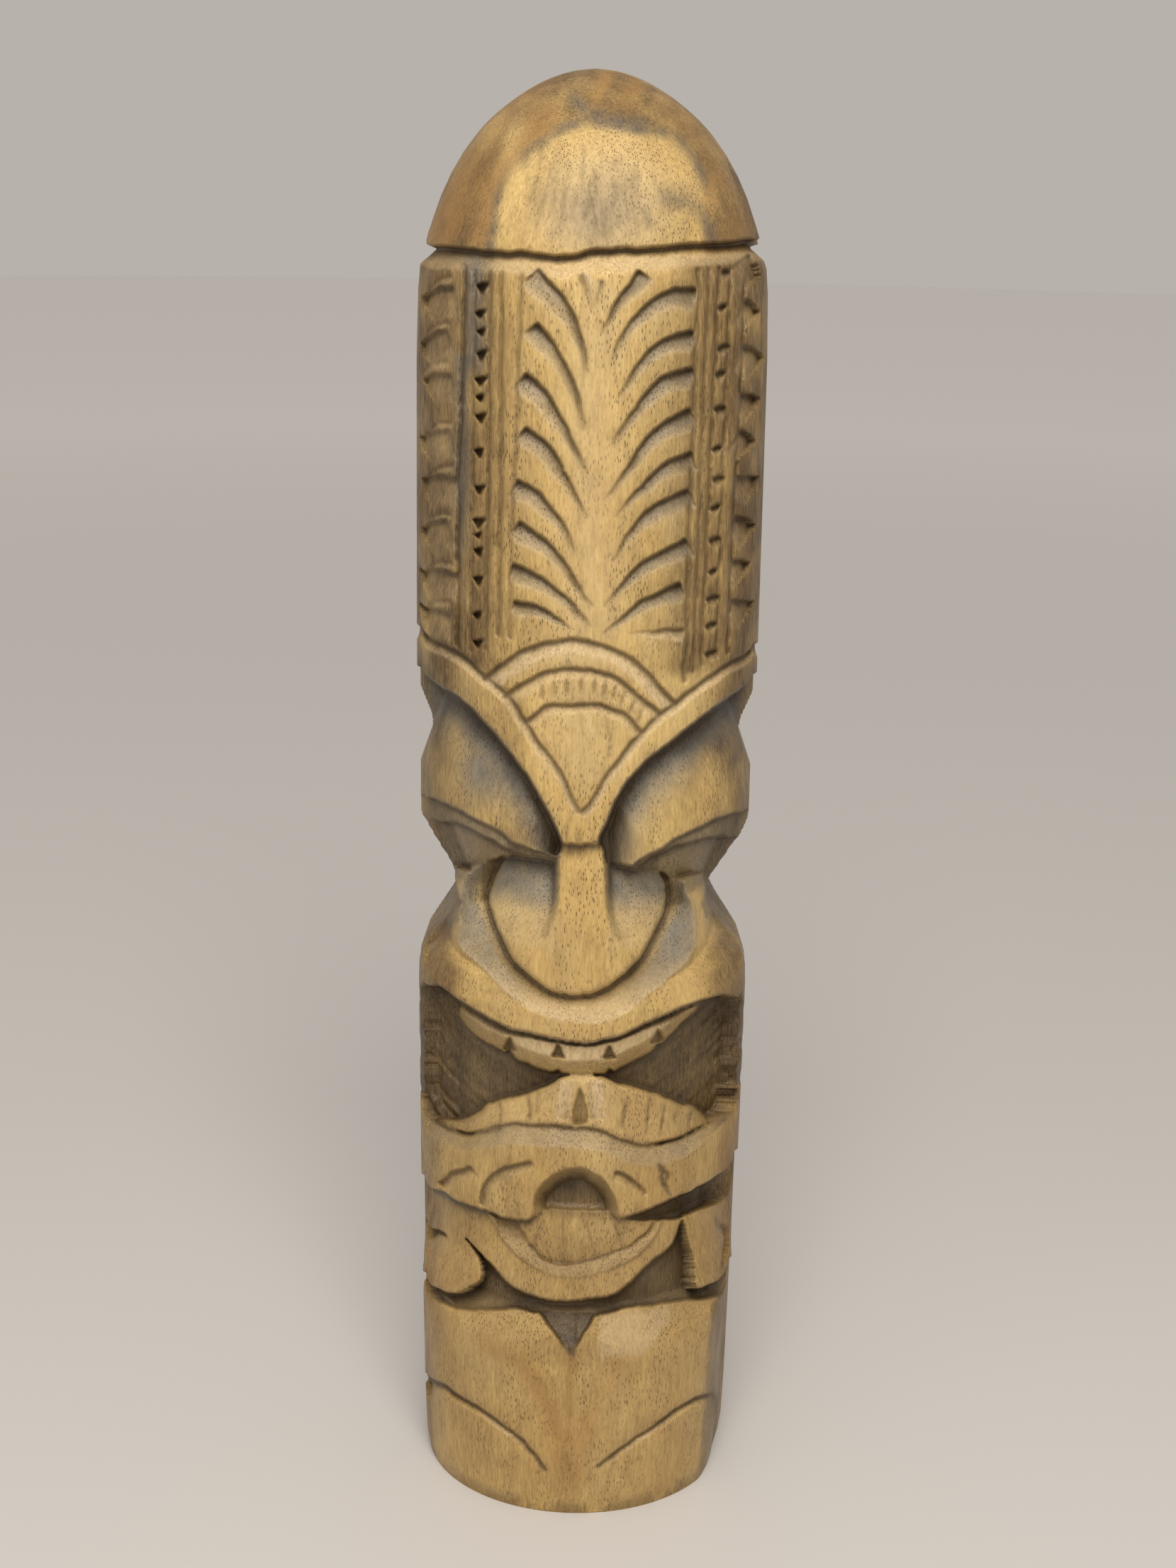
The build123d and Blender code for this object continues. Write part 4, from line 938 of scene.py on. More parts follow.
fresh_cut_and_highlight = np.where(on_lids, np.maximum(fresh_cut_and_highlight, 0.45 * scratched), fresh_cut_and_highlight)
patina_and_shade = np.where((Z <= 112) & (Z > 84), 0.22 + 0.75 * np.clip((x_out - 27) / 5, 0, 1), patina_and_shade)
# Below the lip the wood is browner, most round the hollow under the chin: painted shade for the light's
# fall-off down the figure and under the chin.
lower = np.interp(Z, [0, 25, 45, 52, 60, 70, 84, 90], [0.22, 0.34, 0.40, 0.50, 0.44, 0.30, 0.34, 0.30])
patina_and_shade = np.where(Z <= 84, lower + 0.5 * np.clip((x_out - 29) / 4, 0, 1), patina_and_shade)
warm = np.interp(Z, [0, 95, 115, 150], [0.34, 0.34, 0.20, 0])
tint = (warm * (1 + 0.6 * hand_waves(44, X, Z, 6, 10))
        + 1.1 * orange * (1 + 0.4 * hand_waves(42, X, Z, 3, 7)))

# %% Rings and smudges on the cap
ring = curve([(-19.5, 266), (-18.5, 272), (-18, 276), (-15.8, 280.5), (-13, 284), (-8, 287.5), (-3, 289.5),
              (3, 289.4), (9, 288.4), (14, 288), (18, 284), (20.5, 279)])
short_ring = curve([(10, 272), (13, 275.8), (17, 275.6), (20.5, 273.4), (22.4, 269)])
smudge = curve([(-4, 293.5), (-1, 291.5), (3, 290.5), (9, 289.8)])
right_smudge = curve([(11, 289), (15, 286), (19, 282.5), (21, 278)])
for line, width, strength in ((ring, 0.75, 1.0), (short_ring, 1.1, 0.9), (smudge, 1.0, 0.9),
                              (right_smudge, 0.8, 0.5)):
    here = window(line, 4)
    distance = np.abs(from_line(line, X[here], Z[here])[0])
    wobble = 0.6 + 0.5 * hand_waves(21, X[here], Z[here], 2.0, 1.6)
    stain[here] = np.maximum(stain[here], strength * wobble * np.exp(-((distance / width) ** 2)))
    dirt_and_shade[here] = np.maximum(dirt_and_shade[here], 0.55 * strength * wobble * np.exp(-((distance / width) ** 2)))

# %% Colours of the cap
on_cap = Z > 266.5
inside_ring = inside(np.vstack([ring, [(21, 266), (-19.5, 266)]]), X, Z)
patina_and_shade = np.where(on_cap, np.where(inside_ring, 0.10, 0.80 + 0.02 * np.clip(Z - 285, 0, 12)), patina_and_shade)
# A paler strip down the middle of the uncut front: a painted highlight where the front faces the light.
uncut_skin = (Z < 262) & (Z > 165) & (depth < 0.2)
front_highlight = np.exp(-((X / 6) ** 2)) * (Z > 194) + np.exp(-(((X + 1) / 7) ** 2)) * (Z <= 192)
fresh_cut_and_highlight = np.where(uncut_skin, np.maximum(fresh_cut_and_highlight, 0.32 * front_highlight), fresh_cut_and_highlight)
tint = np.where(on_cap & ~inside_ring, 0.42 + 0.8 * hand_waves(43, X - 0.5 * Z, Z, 3, 9), tint)
weathered = np.clip(hand_waves(45, X - 0.4 * Z, Z, 2.4, 6) - 0.1, 0, 1)
dirt_and_shade = np.where(on_cap & ~inside_ring, np.maximum(dirt_and_shade, 0.45 * weathered), dirt_and_shade)
ticks = np.random.default_rng(61)
tick_count = 230  # short dark pore marks in the pale wood of the cap
for _ in range(tick_count):
    tick_x, tick_z = ticks.normal(-2, 8), ticks.normal(276, 4.2)
    if 268 < tick_z < 286 and abs(tick_x) < 16:
        here = window(np.array([[tick_x, tick_z]]), 1.6)
        mark = np.exp(-(((X[here] - tick_x) / 0.2) ** 2) - (((Z[here] - tick_z) / 0.55) ** 2))
        dirt_and_shade[here] = np.maximum(dirt_and_shade[here], 0.8 * mark)
# Pale grey wood in the cap's middle, with a painted highlight on it.
grey_wood_and_highlight = np.exp(-(((X - 1) / 10) ** 2) - (((Z - 274) / 6.5) ** 2))
stain = np.where(on_cap, np.maximum(stain, 0.5 * grey_wood_and_highlight), stain)
fresh_cut_and_highlight = np.where(on_cap, 0.9 * grey_wood_and_highlight, fresh_cut_and_highlight)
# Darker towards both sides: painted shade where the skin turns away from the light.
dirt_and_shade = np.maximum(dirt_and_shade, 0.24 * np.clip((x_out - 25) / 6, 0, 1) * (Z > 84) * ~on_cap)
mottled = hand_waves(22, X, Z, 5, 5) + 0.6 * hand_waves(23, X, Z, 2.2, 3.0)
rough_side = 0.10 + 0.25 * np.clip((x_out - 20) / 6, 0, 1) * (Z > 112)
patina_and_shade = np.clip(patina_and_shade + np.where(on_cap & ~inside_ring, 0.42, rough_side) * mottled, 0, 1)
print("brown skin over", round(100 * float((patina_and_shade > 0.5).mean())), "% of the board")

# %% [markdown]
# ## Tool marks
# No hand-cut face is flat. Long shallow waves of a fraction of a millimetre are added to
# the board, stronger in the cuts than on the finished skin, and every edge is eased a
# little, as sanding and handling do.

# %% Ease the edges
def soften(board, radius):
    """Blurs a board by a radius in grid steps."""
    reach = int(3 * radius) + 1
    weights = np.exp(-0.5 * (np.arange(-reach, reach + 1) / radius) ** 2)
    weights /= weights.sum()
    for axis in (0, 1):
        padded = np.pad(board, [(reach, reach) if a == axis else (0, 0) for a in (0, 1)], "edge")
        size = board.shape[axis]
        board = sum(w * np.take(padded, np.arange(k, k + size), axis)
                    for k, w in enumerate(weights))
    return board


shift_x = 0.22 * hand_waves(51, X, Z, 2.6, 3.6) + 0.12 * hand_waves(52, X, Z, 0.9, 1.4)
shift_z = 0.22 * hand_waves(53, X, Z, 2.6, 3.6) + 0.12 * hand_waves(54, X, Z, 0.9, 1.4)
depth, fresh_cut_and_highlight, stain, dirt_and_shade = (read(board, X + shift_x, Z + shift_z)
                             for board in (depth, fresh_cut_and_highlight, stain, dirt_and_shade))
marks = 0.10 * hand_waves(11, X, Z, 4.0, 9.0) + 0.05 * hand_waves(12, X, Z, 1.6, 2.6)
in_cut = np.clip(depth / 1.2, 0, 1)
depth = soften(depth + marks * (0.45 + 1.1 * in_cut), 0.75)
depth = np.clip(depth, -0.15, None)
wide = soften(depth, 4.5)
corner_shade = np.clip((depth - wide) / 1.3, -1, 1)  # + in corners, - on edges; the corners get painted shade
fresh_cut_and_highlight, stain, dirt_and_shade, patina_and_shade = soften(fresh_cut_and_highlight, 1.0), soften(stain, 2.0), soften(dirt_and_shade, 0.9), soften(patina_and_shade, 3.0)
tint = soften(np.clip(tint, 0, 1), 3.0)
print("tool marks added")

# %% [markdown]
# ## From drawing to wood
# The skin of the block is a net of points, close together on the front and wider behind.
# Each point goes inward along its own ray until it is below the depth drawn there. The rays
# slope down like the carver's line of sight, so each point keeps its place on the drawing and
# the edges stay crisp. Those on the sides turn towards the axis. The saw cuts at the brow and
# the waist go through the sides behind too.

# %% Side cuts
side_profile = np.array(
    [(0, 40), (117, 40), (118, 34.9), (121.5, 33.5), (124.9, 30.4), (126.8, 28.9), (130.5, 26.6),
     (134, 25.3), (136, 26.4), (148, 34.9), (149, 40), (158.5, 40), (159.5, 35.0), (166, 32.6),
     (169, 31.4), (171.5, 32.2), (176, 35.2), (177, 40), (300, 40)]
)


def side_limit(z):
    """How far the wood reaches sideways at a height, where the sides are cut through."""
    return np.interp(z, side_profile[:, 0], side_profile[:, 1])


print("narrowest at the waist:", side_profile[:, 1].min(), "mm from the middle")

# %% [markdown]
# ## The net of points
# The net is fine where the cuts are and four times coarser round the back, where it's plain.
# Straight ahead its rays go to the back; beyond 30 degrees they start to turn to the axis.

# %% The net of points
fine = 0.3
front_angles = np.arange(-82, 82.01, math.degrees(fine / 35))
back_angles = np.arange(82, 278, math.degrees(4 * fine / 35))[1:]
angles = np.radians(np.concatenate([front_angles, back_angles]))
body_levels = np.arange(0, 284, fine)
dome_path = np.vstack([[284, half_width(284)], dome_outline[dome_outline[:, 0] > 284]])
dome_path = curve([(w, z) for z, w in dome_path], 1.4 * fine)[1:-1]
levels = np.concatenate([body_levels, dome_path[:, 1]])
level_half_width = np.concatenate([half_width(body_levels), dome_path[:, 0]])
angle, level = np.meshgrid(angles, levels)
a = np.repeat(level_half_width[:, None], angles.size, 1)
b = a * depth_share
turn = np.abs(np.where(angle > math.pi, angle - 2 * math.pi, angle))
lean = turn * np.clip((np.degrees(turn) - 30) / 52, 0, 1) ** 1.2
ray_x = -np.sin(lean) * np.sign(np.sin(angle))
ray_y = np.cos(lean)
ray_y = np.where(turn > math.pi / 2, -np.cos(math.pi - turn), ray_y)
ray_x = np.where(turn > math.pi / 2, -np.sin(angle), ray_x)
skin_x, skin_y = a * np.sin(angle), -b * np.cos(angle)
sight_slope = (eye[2] - level) / (skin_y - eye[1])
ray_z = -sight_slope * np.clip(ray_y, 0, None)

# %% Where a point stops
def wanted(x, y, z):
    """How much deeper than it should be a point is: below 0 while it must still go in."""
    block_a = half_width(z)
    below_skin = (1 - np.hypot(x / block_a, y / (block_a * depth_share))) * block_a
    bx, bz = on_board(x, y, z)
    on_front = np.clip((4 - y) / 8, 0, 1)
    need = read(depth, bx, bz) * on_front + groove_cut(cap_level - z) * (1 - on_front)
    return np.minimum(below_skin - need, side_limit(z) - np.abs(x))


print("net:", angles.size, "points round,", levels.size, "levels")

# %% [markdown]
# ## Going in
# Every point walks inward in quarter-millimetre steps until it's deep enough, and the last
# step is shortened to stop on the surface. A Boolean cut for each tool stroke would also
# work, but hundreds of them are slow and leave slivers.

# %% March the points in
march = 0.25
inward = np.zeros_like(skin_x)
moving = level < 284
last = wanted(skin_x, skin_y, level)
moving &= last < 0
rows, columns = np.nonzero(moving)
for _ in range(64):
    if rows.size == 0:
        break
    before = last[rows, columns]
    go = inward[rows, columns] + march
    x = skin_x[rows, columns] + go * ray_x[rows, columns]
    y = skin_y[rows, columns] + go * ray_y[rows, columns]
    z = level[rows, columns] + go * ray_z[rows, columns]
    now = wanted(x, y, z)
    arrived = now >= 0
    share = np.where(arrived, before / np.minimum(before - now, -1e-6), 1.0)
    inward[rows, columns] += march * np.clip(share, 0, 1)
    last[rows, columns] = now
    rows, columns = rows[~arrived], columns[~arrived]
px, py = skin_x + inward * ray_x, skin_y + inward * ray_y
pz = np.where(level > 0, np.clip(level + inward * ray_z, 0.02, None), 0)
print("pushed in:", px.shape, "points, by up to", round(inward.max(), 1), "mm")

# %% [markdown]
# ## The skin as a mesh
# Neighbouring points are joined by four-sided faces, ring above ring, and a fan of triangles
# closes the top and the foot. So the skin is one closed surface, as a solid block has.

# %% Skin of the figure as a mesh
count_z, count_a = px.shape
points = np.stack([px, py, pz], -1).reshape(-1, 3)
points = np.vstack([points, [[0, 0, full_height], [0, 0, 0]]]) * MM
corner = np.arange(count_z * count_a).reshape(count_z, count_a)
right = np.roll(corner, -1, 1)
quads = np.stack([corner[:-1], right[:-1], right[1:], corner[1:]], -1).reshape(-1, 4)
apex, foot = len(points) - 2, len(points) - 1
top_fan = np.stack([corner[-1], right[-1], np.full(count_a, apex)], -1)
foot_fan = np.stack([right[0], corner[0], np.full(count_a, foot)], -1)
mesh = bpy.data.meshes.new("carved_skin")
loops = np.concatenate([quads.ravel(), top_fan.ravel(), foot_fan.ravel()])
sizes = np.concatenate([np.full(len(quads), 4), np.full(len(top_fan) + len(foot_fan), 3)])
mesh.vertices.add(len(points))
mesh.vertices.foreach_set("co", points.astype(np.float32).ravel())
mesh.loops.add(len(loops))
mesh.loops.foreach_set("vertex_index", loops.astype(np.int32))
mesh.polygons.add(len(sizes))
mesh.polygons.foreach_set("loop_start", np.concatenate([[0], np.cumsum(sizes)[:-1]]).astype(np.int32))
mesh.update(calc_edges=True)
mesh.validate()
figure = bpy.data.objects.new("carved_tiki_figure", mesh)
bpy.context.scene.collection.objects.link(figure)
print("skin:", len(mesh.vertices), "points,", len(mesh.polygons), "faces")

# %% [markdown]
# ## Lighter mesh
# The even net wastes points on plain wood. Blender's Decimate modifier merges them where
# the surface is flat and keeps them where it turns, such as in the corners of the cuts.

# %% Thin out the net
most_faces = 190_000
triangles = len(quads) * 2 + len(top_fan) + len(foot_fan)
if triangles > most_faces:
    thin = figure.modifiers.new("thin", "DECIMATE")
    thin.ratio = most_faces / triangles
    thin.use_collapse_triangulate = True
    graph = bpy.context.evaluated_depsgraph_get()
    figure.data = bpy.data.meshes.new_from_object(figure.evaluated_get(graph))
    figure.modifiers.clear()
mesh = figure.data
mesh.polygons.foreach_set("use_smooth", np.ones(len(mesh.polygons), bool))
mesh.update()
print("after thinning:", len(mesh.polygons), "faces")

# %% [markdown]
# ## What the wood remembers
# The finish needs to know, at each point, if it is a fresh pale cut or gets a painted
# highlight, if it lies in a corner that gets painted shade or in the stained wood, and where dirt,
# oil and wear have changed the colour or shade is painted. The boards already hold that, so each
# point of the thinned mesh reads its values back and keeps them as attributes.

# %% Store the values on the mesh
coordinates = np.zeros(len(mesh.vertices) * 3, np.float32)
mesh.vertices.foreach_get("co", coordinates)
vx, vy, vz = (coordinates.reshape(-1, 3) / MM).T.astype(float)
bx, bz = on_board(vx, vy, vz)
on_front = np.clip((3 - vy) / 6, 0, 1)
# The faces of the saw cuts through the sides get grey stain and painted shade.
side_cut = np.clip((35.3 - side_limit(vz)) / 5, 0, 1) * (np.abs(vx) > side_limit(vz) - 0.8)
brown_behind = np.clip((vy + 14) / 14, 0, 1) * 0.85
values = {
    "fresh_cut_and_highlight": read(fresh_cut_and_highlight, bx, bz) * on_front,
    "stain": np.maximum(read(stain, bx, bz) * on_front, 0.35 * side_cut),
    "dirt_and_shade": np.maximum(read(dirt_and_shade, bx, bz) * on_front, 0.35 * side_cut),
    "patina_and_shade": np.maximum(read(patina_and_shade, bx, bz) * on_front, brown_behind),
    "corner": read(corner_shade, bx, bz) * on_front,
    "tint": read(tint, bx, bz) * on_front,
}
for name, value in values.items():
    kept = mesh.attributes.new(name, "FLOAT", "POINT")
    kept.data.foreach_set("value", value.astype(np.float32))
print("stored:", ", ".join(values))

# %% [markdown]
# ## Wood
# A node material for oiled pale hardwood. Colour comes in layers, from the inside out: the
# growth layers, which lie almost parallel to the front because the block was cut beside the
# heart; fine upright streaks; short dark pores; the brown patina on the rounded skin, which
# also carries painted shade; the pale torn faces of fresh cuts, with painted highlights; the
# blue-grey stain; dirt and painted shade in the cuts; and painted shade in the corners.

# %% Node helpers
wood = bpy.data.materials.new("oiled_carved_wood")
wood.use_nodes = True
tree = wood.node_tree
tree.nodes.clear()


def node(kind, **settings):
    """A node with its settings and input values."""
    made = tree.nodes.new(kind)
    inputs = settings.pop("inputs", {})
    for name, value in settings.items():
        setattr(made, name, value)
    for name, value in inputs.items():
        if hasattr(value, "node"):
            tree.links.new(value, made.inputs[name])
        else:
            made.inputs[name].default_value = value
    return made


def maths(operation, first, second=0.0, clamp=False):
    """One sum on one or two values."""
    made = node("ShaderNodeMath", operation=operation, use_clamp=clamp)
    for place, value in enumerate((first, second)):
        if hasattr(value, "node"):
            tree.links.new(value, made.inputs[place])
        else:
            made.inputs[place].default_value = value
    return made.outputs[0]


def mix(amount, under, over, kind="MIX"):
    """Lays one colour over another."""
    made = node("ShaderNodeMix", data_type="RGBA", blend_type=kind, clamp_factor=True)
    for name, value in (("Factor_Float", amount), ("A_Color", under), ("B_Color", over)):
        socket = next(s for s in made.inputs if s.identifier == name)
        if hasattr(value, "node"):
            tree.links.new(value, socket)
        else:
            socket.default_value = (*value, 1) if isinstance(value, tuple) else value
    return next(s for s in made.outputs if s.identifier == "Result_Color")

# %% Ramps and patterns
def ramp(value, *stops):
    """A smooth change from one value or colour to another."""
    made = node("ShaderNodeValToRGB", inputs={"Fac": value})
    elements = made.color_ramp.elements
    while len(elements) < len(stops):
        elements.new(0.5)
    for element, (place, colour) in zip(elements, stops):
        element.position = place
        element.color = (*colour, 1) if isinstance(colour, tuple) else (colour, colour, colour, 1)
    return made.outputs["Color"]


def stretched(x, y, z):
    """Object coordinates scaled, so that patterns run along the grain."""
    coordinates = node("ShaderNodeTexCoord").outputs["Object"]
    mapping = node("ShaderNodeMapping", inputs={"Vector": coordinates, "Scale": (x, y, z)})
    return mapping.outputs["Vector"]


def noise(vector, scale=1.0, detail=3.0, rough=0.55, warp=0.0):
    """Cloudy variation."""
    made = node("ShaderNodeTexNoise",
                inputs={"Vector": vector, "Scale": scale, "Detail": detail, "Roughness": rough,
                        "Distortion": warp})
    return made.outputs["Fac"]


def kept(name):
    """A value stored on the mesh."""
    return node("ShaderNodeAttribute", attribute_type="GEOMETRY", attribute_name=name).outputs["Fac"]


print("the wood starts with", len(tree.nodes), "nodes")

# %% [markdown]
# ## Growth layers and streaks
# Pale wood isn't one colour. Growth layers make broad soft bands, vessels make fine upright
# streaks, and old handling makes clouds. Each is noise stretched along the grain.

# %% Growth layers and streaks
layer_spacing, full_turn = 0.011, 6.2832  # metres from layer to layer, and a turn for the sine
place = node("ShaderNodeSeparateXYZ",
             inputs={"Vector": node("ShaderNodeTexCoord").outputs["Object"]})
wander = noise(stretched(22, 22, 5), detail=2.0)
layer_count = maths("MULTIPLY", place.outputs["Y"], 1 / layer_spacing)
layer = maths("ADD", layer_count, maths("MULTIPLY", wander, 2.6))
layer_wave = maths("ADD", maths("MULTIPLY", maths("SINE", maths("MULTIPLY", layer, full_turn)), 0.5), 0.5)
streak = noise(stretched(2300, 2300, 280), detail=4.0, rough=0.65)
cloud = noise(stretched(150, 150, 60), detail=5.0, rough=0.6)
broad = noise(stretched(45, 45, 18), detail=3.0)
tan = ramp(streak, (0.34, (0.42, 0.275, 0.092)), (0.5, (0.56, 0.385, 0.138)), (0.66, (0.67, 0.480, 0.190)))
tan = mix(maths("MULTIPLY", layer_wave, 0.22), tan, (0.46, 0.27, 0.085))
tan = mix(maths("MULTIPLY", ramp(cloud, (0.42, 0.0), (0.68, 1.0)), 0.5), tan, (0.40, 0.26, 0.105))
tan = mix(maths("MULTIPLY", ramp(broad, (0.45, 0.0), (0.7, 1.0)), 0.35), tan, (0.70, 0.52, 0.24))
print("growth layers:", layer_spacing / MM, "mm apart")

blotch = ramp(noise(stretched(420, 420, 150), detail=6.0, rough=0.7), (0.50, 0.0), (0.66, 1.0))
tan = mix(maths("MULTIPLY", blotch, 0.32), tan, (0.27, 0.165, 0.060))

# %% [markdown]
# ## Pores
# Cut vessels show as short dark dashes along the grain, about 0.7 mm long. Real holes would
# need millions of faces, so they are only colour and a slight dip in the bump.

# %% Pores
pores_across, pores_along = 2600, 560  # to the metre
pores = node("ShaderNodeTexVoronoi", feature="F1", voronoi_dimensions="3D",
             inputs={"Vector": stretched(pores_across, pores_across, pores_along), "Scale": 1.0,
                     "Randomness": 1.0})
pore = ramp(pores.outputs["Distance"], (0.16, 1.0), (0.32, 0.0))
pore_zone = ramp(noise(stretched(160, 160, 60), detail=3.0), (0.40, 0.15), (0.62, 1.0))
pore = maths("MULTIPLY", pore, pore_zone)
tan = mix(maths("MULTIPLY", pore, 0.85), tan, (0.10, 0.058, 0.022))
print("pores:", round(1000 / pores_along, 1), "mm apart along the grain")

# %% [markdown]
# ## Patina
# Where the skin is rounded and handled, oil and wear turned it brown in uneven clouds, and in
# places orange. The same brown also lays painted shade on the lower body and the lids. The
# stored values say where, and the noise breaks up their edges.

# %% Patina of the rounded skin
worn = ramp(noise(stretched(110, 110, 50), detail=6.0, rough=0.68), (0.36, 0.0), (0.64, 1.0))
patina_and_shade_amount = maths("MULTIPLY", kept("patina_and_shade"), maths("ADD", maths("MULTIPLY", worn, 0.45), 0.68),
                      clamp=True)
brown = ramp(streak, (0.34, (0.070, 0.041, 0.014)), (0.5, (0.140, 0.084, 0.031)),
             (0.66, (0.23, 0.143, 0.053)))
coloured = mix(patina_and_shade_amount, tan, brown)
coloured = mix(maths("MULTIPLY", kept("tint"), 0.55), coloured, (0.34, 0.175, 0.050))
print("with the patina:", len(tree.nodes), "nodes")

# %% [markdown]
# ## Fresh cuts, stain, dirt and painted shade
# Three more layers go on top, in the order in which they came: pale torn fibres of the cuts
# with painted highlights, the blue-grey stain in the wood, then dirt, dark finish and painted
# shade, which lie over everything. Last, the corners get more painted shade.

# %% Fresh cuts, stain, dirt and painted shade
fibre = noise(stretched(1700, 1700, 600), detail=3.0, rough=0.7)
# Pale colour for torn fibres, also used for painted highlights.
pale = mix(ramp(fibre, (0.34, 0.0), (0.66, 1.0)), (0.40, 0.29, 0.16), (0.66, 0.52, 0.33))
less_where_brown = maths("SUBTRACT", 0.72, maths("MULTIPLY", kept("patina_and_shade"), 0.35))
fresh_cut_and_highlight_amount = maths("MULTIPLY", kept("fresh_cut_and_highlight"), less_where_brown)
coloured = mix(fresh_cut_and_highlight_amount, coloured, pale)
grey = ramp(cloud, (0.3, (0.085, 0.080, 0.067)), (0.5, (0.145, 0.135, 0.112)), (0.72, (0.22, 0.205, 0.168)))
grey = mix(maths("MULTIPLY", ramp(streak, (0.36, 1.0), (0.6, 0.0)), 0.35), grey, (0.07, 0.065, 0.055))
grey_amount = maths("MULTIPLY", kept("stain"), maths("ADD", maths("MULTIPLY", worn, 0.3), 0.7))
coloured = mix(grey_amount, coloured, grey)
stained_pore = maths("MULTIPLY", pore, kept("stain"))
coloured = mix(maths("MULTIPLY", stained_pore, 0.8), coloured, (0.07, 0.065, 0.06))
# Dark colour for dirt, dark finish and painted shade.
grime_and_shade = ramp(streak, (0.34, (0.026, 0.016, 0.007)), (0.66, (0.100, 0.061, 0.024)))
grime_and_shade_amount = maths("MULTIPLY", kept("dirt_and_shade"), maths("ADD", maths("MULTIPLY", worn, 0.2), 0.82), clamp=True)
coloured = mix(grime_and_shade_amount, coloured, grime_and_shade)
# Corners are darkened: painted shade.
corner = ramp(kept("corner"), (0.1, 0.0), (0.7, 1.0))
coloured = mix(maths("MULTIPLY", corner, 0.55), coloured, (0.05, 0.030, 0.014))
print("with cuts, stain and dirt:", len(tree.nodes), "nodes")

# %% [markdown]
# ## Finish
# An oil finish is satin: smoother where it was rubbed, dull on torn fibres. Grain and pores
# also give a bump of a quarter of a millimetre at most.

# %% Finish
height = maths("SUBTRACT", maths("MULTIPLY", streak, 0.5), maths("MULTIPLY", pore, 0.7))
torn = maths("MULTIPLY", maths("MULTIPLY", fibre, kept("fresh_cut_and_highlight")), 0.45)
height = maths("ADD", height, torn)
grain_height = 0.00025  # metres
bump = node("ShaderNodeBump", inputs={"Height": height, "Strength": 0.75, "Distance": grain_height})
rough = ramp(worn, (0.0, 0.36), (1.0, 0.52))
rough = mix(kept("fresh_cut_and_highlight"), rough, (0.85, 0.85, 0.85))
surface = node("ShaderNodeBsdfPrincipled",
               inputs={"Base Color": coloured, "Roughness": rough, "Normal": bump.outputs[0]})
surface.inputs["IOR"].default_value = 1.47
surface.inputs["Specular IOR Level"].default_value = 0.42
node("ShaderNodeOutputMaterial", inputs={"Surface": surface.outputs[0]})
mesh.materials.clear()
mesh.materials.append(wood)
print("wood has", len(tree.nodes), "nodes")

# %% [markdown]
# ## The figure takes the block's place
# The carved skin stands for the plain solid of the design, which is hidden.

# %% Replace the plain solid
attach(figure, "root")
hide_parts("carved_figure")
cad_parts["carved_figure"].data.materials.clear()
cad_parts["carved_figure"].data.materials.append(wood)
print("replaced: carved_figure")

# %% [markdown]
# ## Floor, light and camera
# The figure stands on a plain pale floor, which gets paler with distance, so that no hard line
# shows behind it. A curved backdrop would hide the line too, but it would stand in the way of
# a camera at the side.

# %% Floor
floor_radius = 4.0  # metres
floor_paint = bpy.data.materials.new("pale_floor")
floor_paint.use_nodes = True
floor_shader = floor_paint.node_tree.nodes["Principled BSDF"]
floor_nodes, floor_links = floor_paint.node_tree.nodes, floor_paint.node_tree.links
floor_place = floor_nodes.new("ShaderNodeTexCoord")
how_far = floor_nodes.new("ShaderNodeVectorMath")
how_far.operation = "LENGTH"
floor_tone = floor_nodes.new("ShaderNodeValToRGB")
# The floor is paler far off: painted light that evens out the lamp's fall-off, so no hard line shows.
floor_tone.color_ramp.elements[0].position, floor_tone.color_ramp.elements[1].position = 0.06, 0.45
floor_tone.color_ramp.elements[0].color = (0.61, 0.59, 0.58, 1)
floor_tone.color_ramp.elements[1].color = (0.97, 0.955, 0.94, 1)
floor_scale = floor_nodes.new("ShaderNodeMath")
floor_scale.operation = "DIVIDE"
floor_scale.inputs[1].default_value = floor_radius
floor_links.new(floor_place.outputs["Object"], how_far.inputs[0])
floor_links.new(how_far.outputs["Value"], floor_scale.inputs[0])
floor_links.new(floor_scale.outputs[0], floor_tone.inputs["Fac"])
floor_links.new(floor_tone.outputs["Color"], floor_shader.inputs["Base Color"])
floor_shader.inputs["Roughness"].default_value = 0.55
floor_mesh = bmesh.new()
bmesh.ops.create_circle(floor_mesh, cap_ends=True, radius=floor_radius, segments=96)
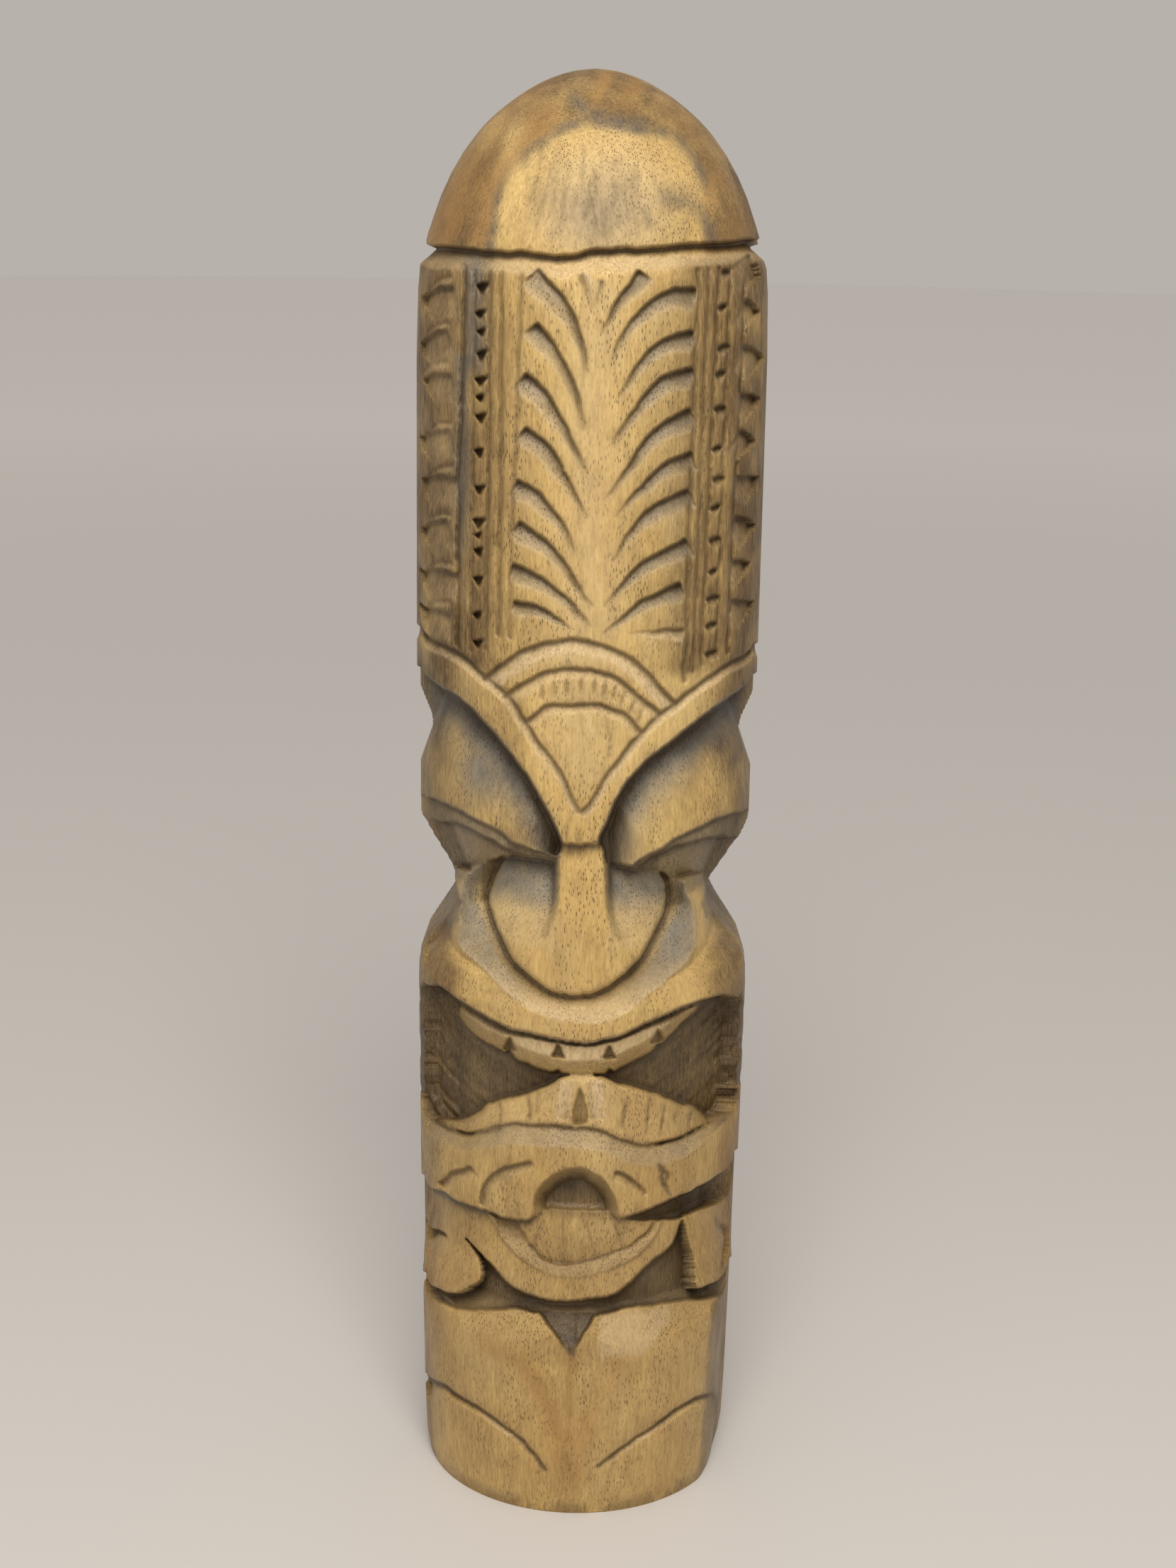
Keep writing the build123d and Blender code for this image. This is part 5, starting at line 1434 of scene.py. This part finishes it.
floor_data = bpy.data.meshes.new("pale_floor")
floor_mesh.to_mesh(floor_data)
floor_mesh.free()
floor_data.materials.append(floor_paint)
floor = bpy.data.objects.new("pale_floor", floor_data)
bpy.context.scene.collection.objects.link(floor)
print("floor:", floor_radius, "m round the figure")

# %% [markdown]
# ## Soft light
# One broad light hangs above and in front, so that each step cut from above throws a shadow
# down the face. A weaker one from the left and a pale world fill the shadows.

# %% Light
world = bpy.data.worlds.new("soft_room")
world.use_nodes = True
world.node_tree.nodes["Background"].inputs["Color"].default_value = (0.99, 0.925, 0.85, 1)
world.node_tree.nodes["Background"].inputs["Strength"].default_value = 0.48
bpy.context.scene.world = world


def soft_light(name, place, aim, size, power, colour):
    """A square area light that looks at a point."""
    data = bpy.data.lights.new(name, "AREA")
    data.size, data.energy, data.color = size, power, colour
    lamp = bpy.data.objects.new(name, data)
    lamp.location = place
    lamp.rotation_euler = (Vector(aim) - Vector(place)).to_track_quat("-Z", "Y").to_euler()
    bpy.context.scene.collection.objects.link(lamp)


soft_light("ceiling", (0.02, -0.52, 0.80), (0, 0, 0.2), 0.42, 6.6, (1.0, 0.95, 0.86))
soft_light("window", (-1.0, -1.1, 0.7), (0, 0, 0.15), 0.9, 2.5, (0.94, 0.97, 1.0))

# %% [markdown]
# ## Camera
# The camera stands where the carver's eye is, almost level with the cap, and looks down. The
# slight roll is that of a camera held in the hand.

# %% Camera
camera_data = bpy.data.cameras.new("camera")
camera_data.sensor_fit = "VERTICAL"
camera_data.sensor_height = 36
camera_data.sensor_width = 27
camera_data.lens = 52.08
camera = bpy.data.objects.new("camera", camera_data)
camera.location = eye * MM
pitch_down, roll = math.radians(16.243), math.radians(0.925)
tilt = Matrix.Rotation(math.pi / 2 - pitch_down, 4, "X") @ Matrix.Rotation(roll, 4, "Z")
camera.rotation_euler = tilt.to_euler()
bpy.context.scene.collection.objects.link(camera)
bpy.context.scene.camera = camera

bpy.context.scene.view_settings.view_transform = "Standard"
print("camera at", [round(c, 3) for c in camera.location], "m")
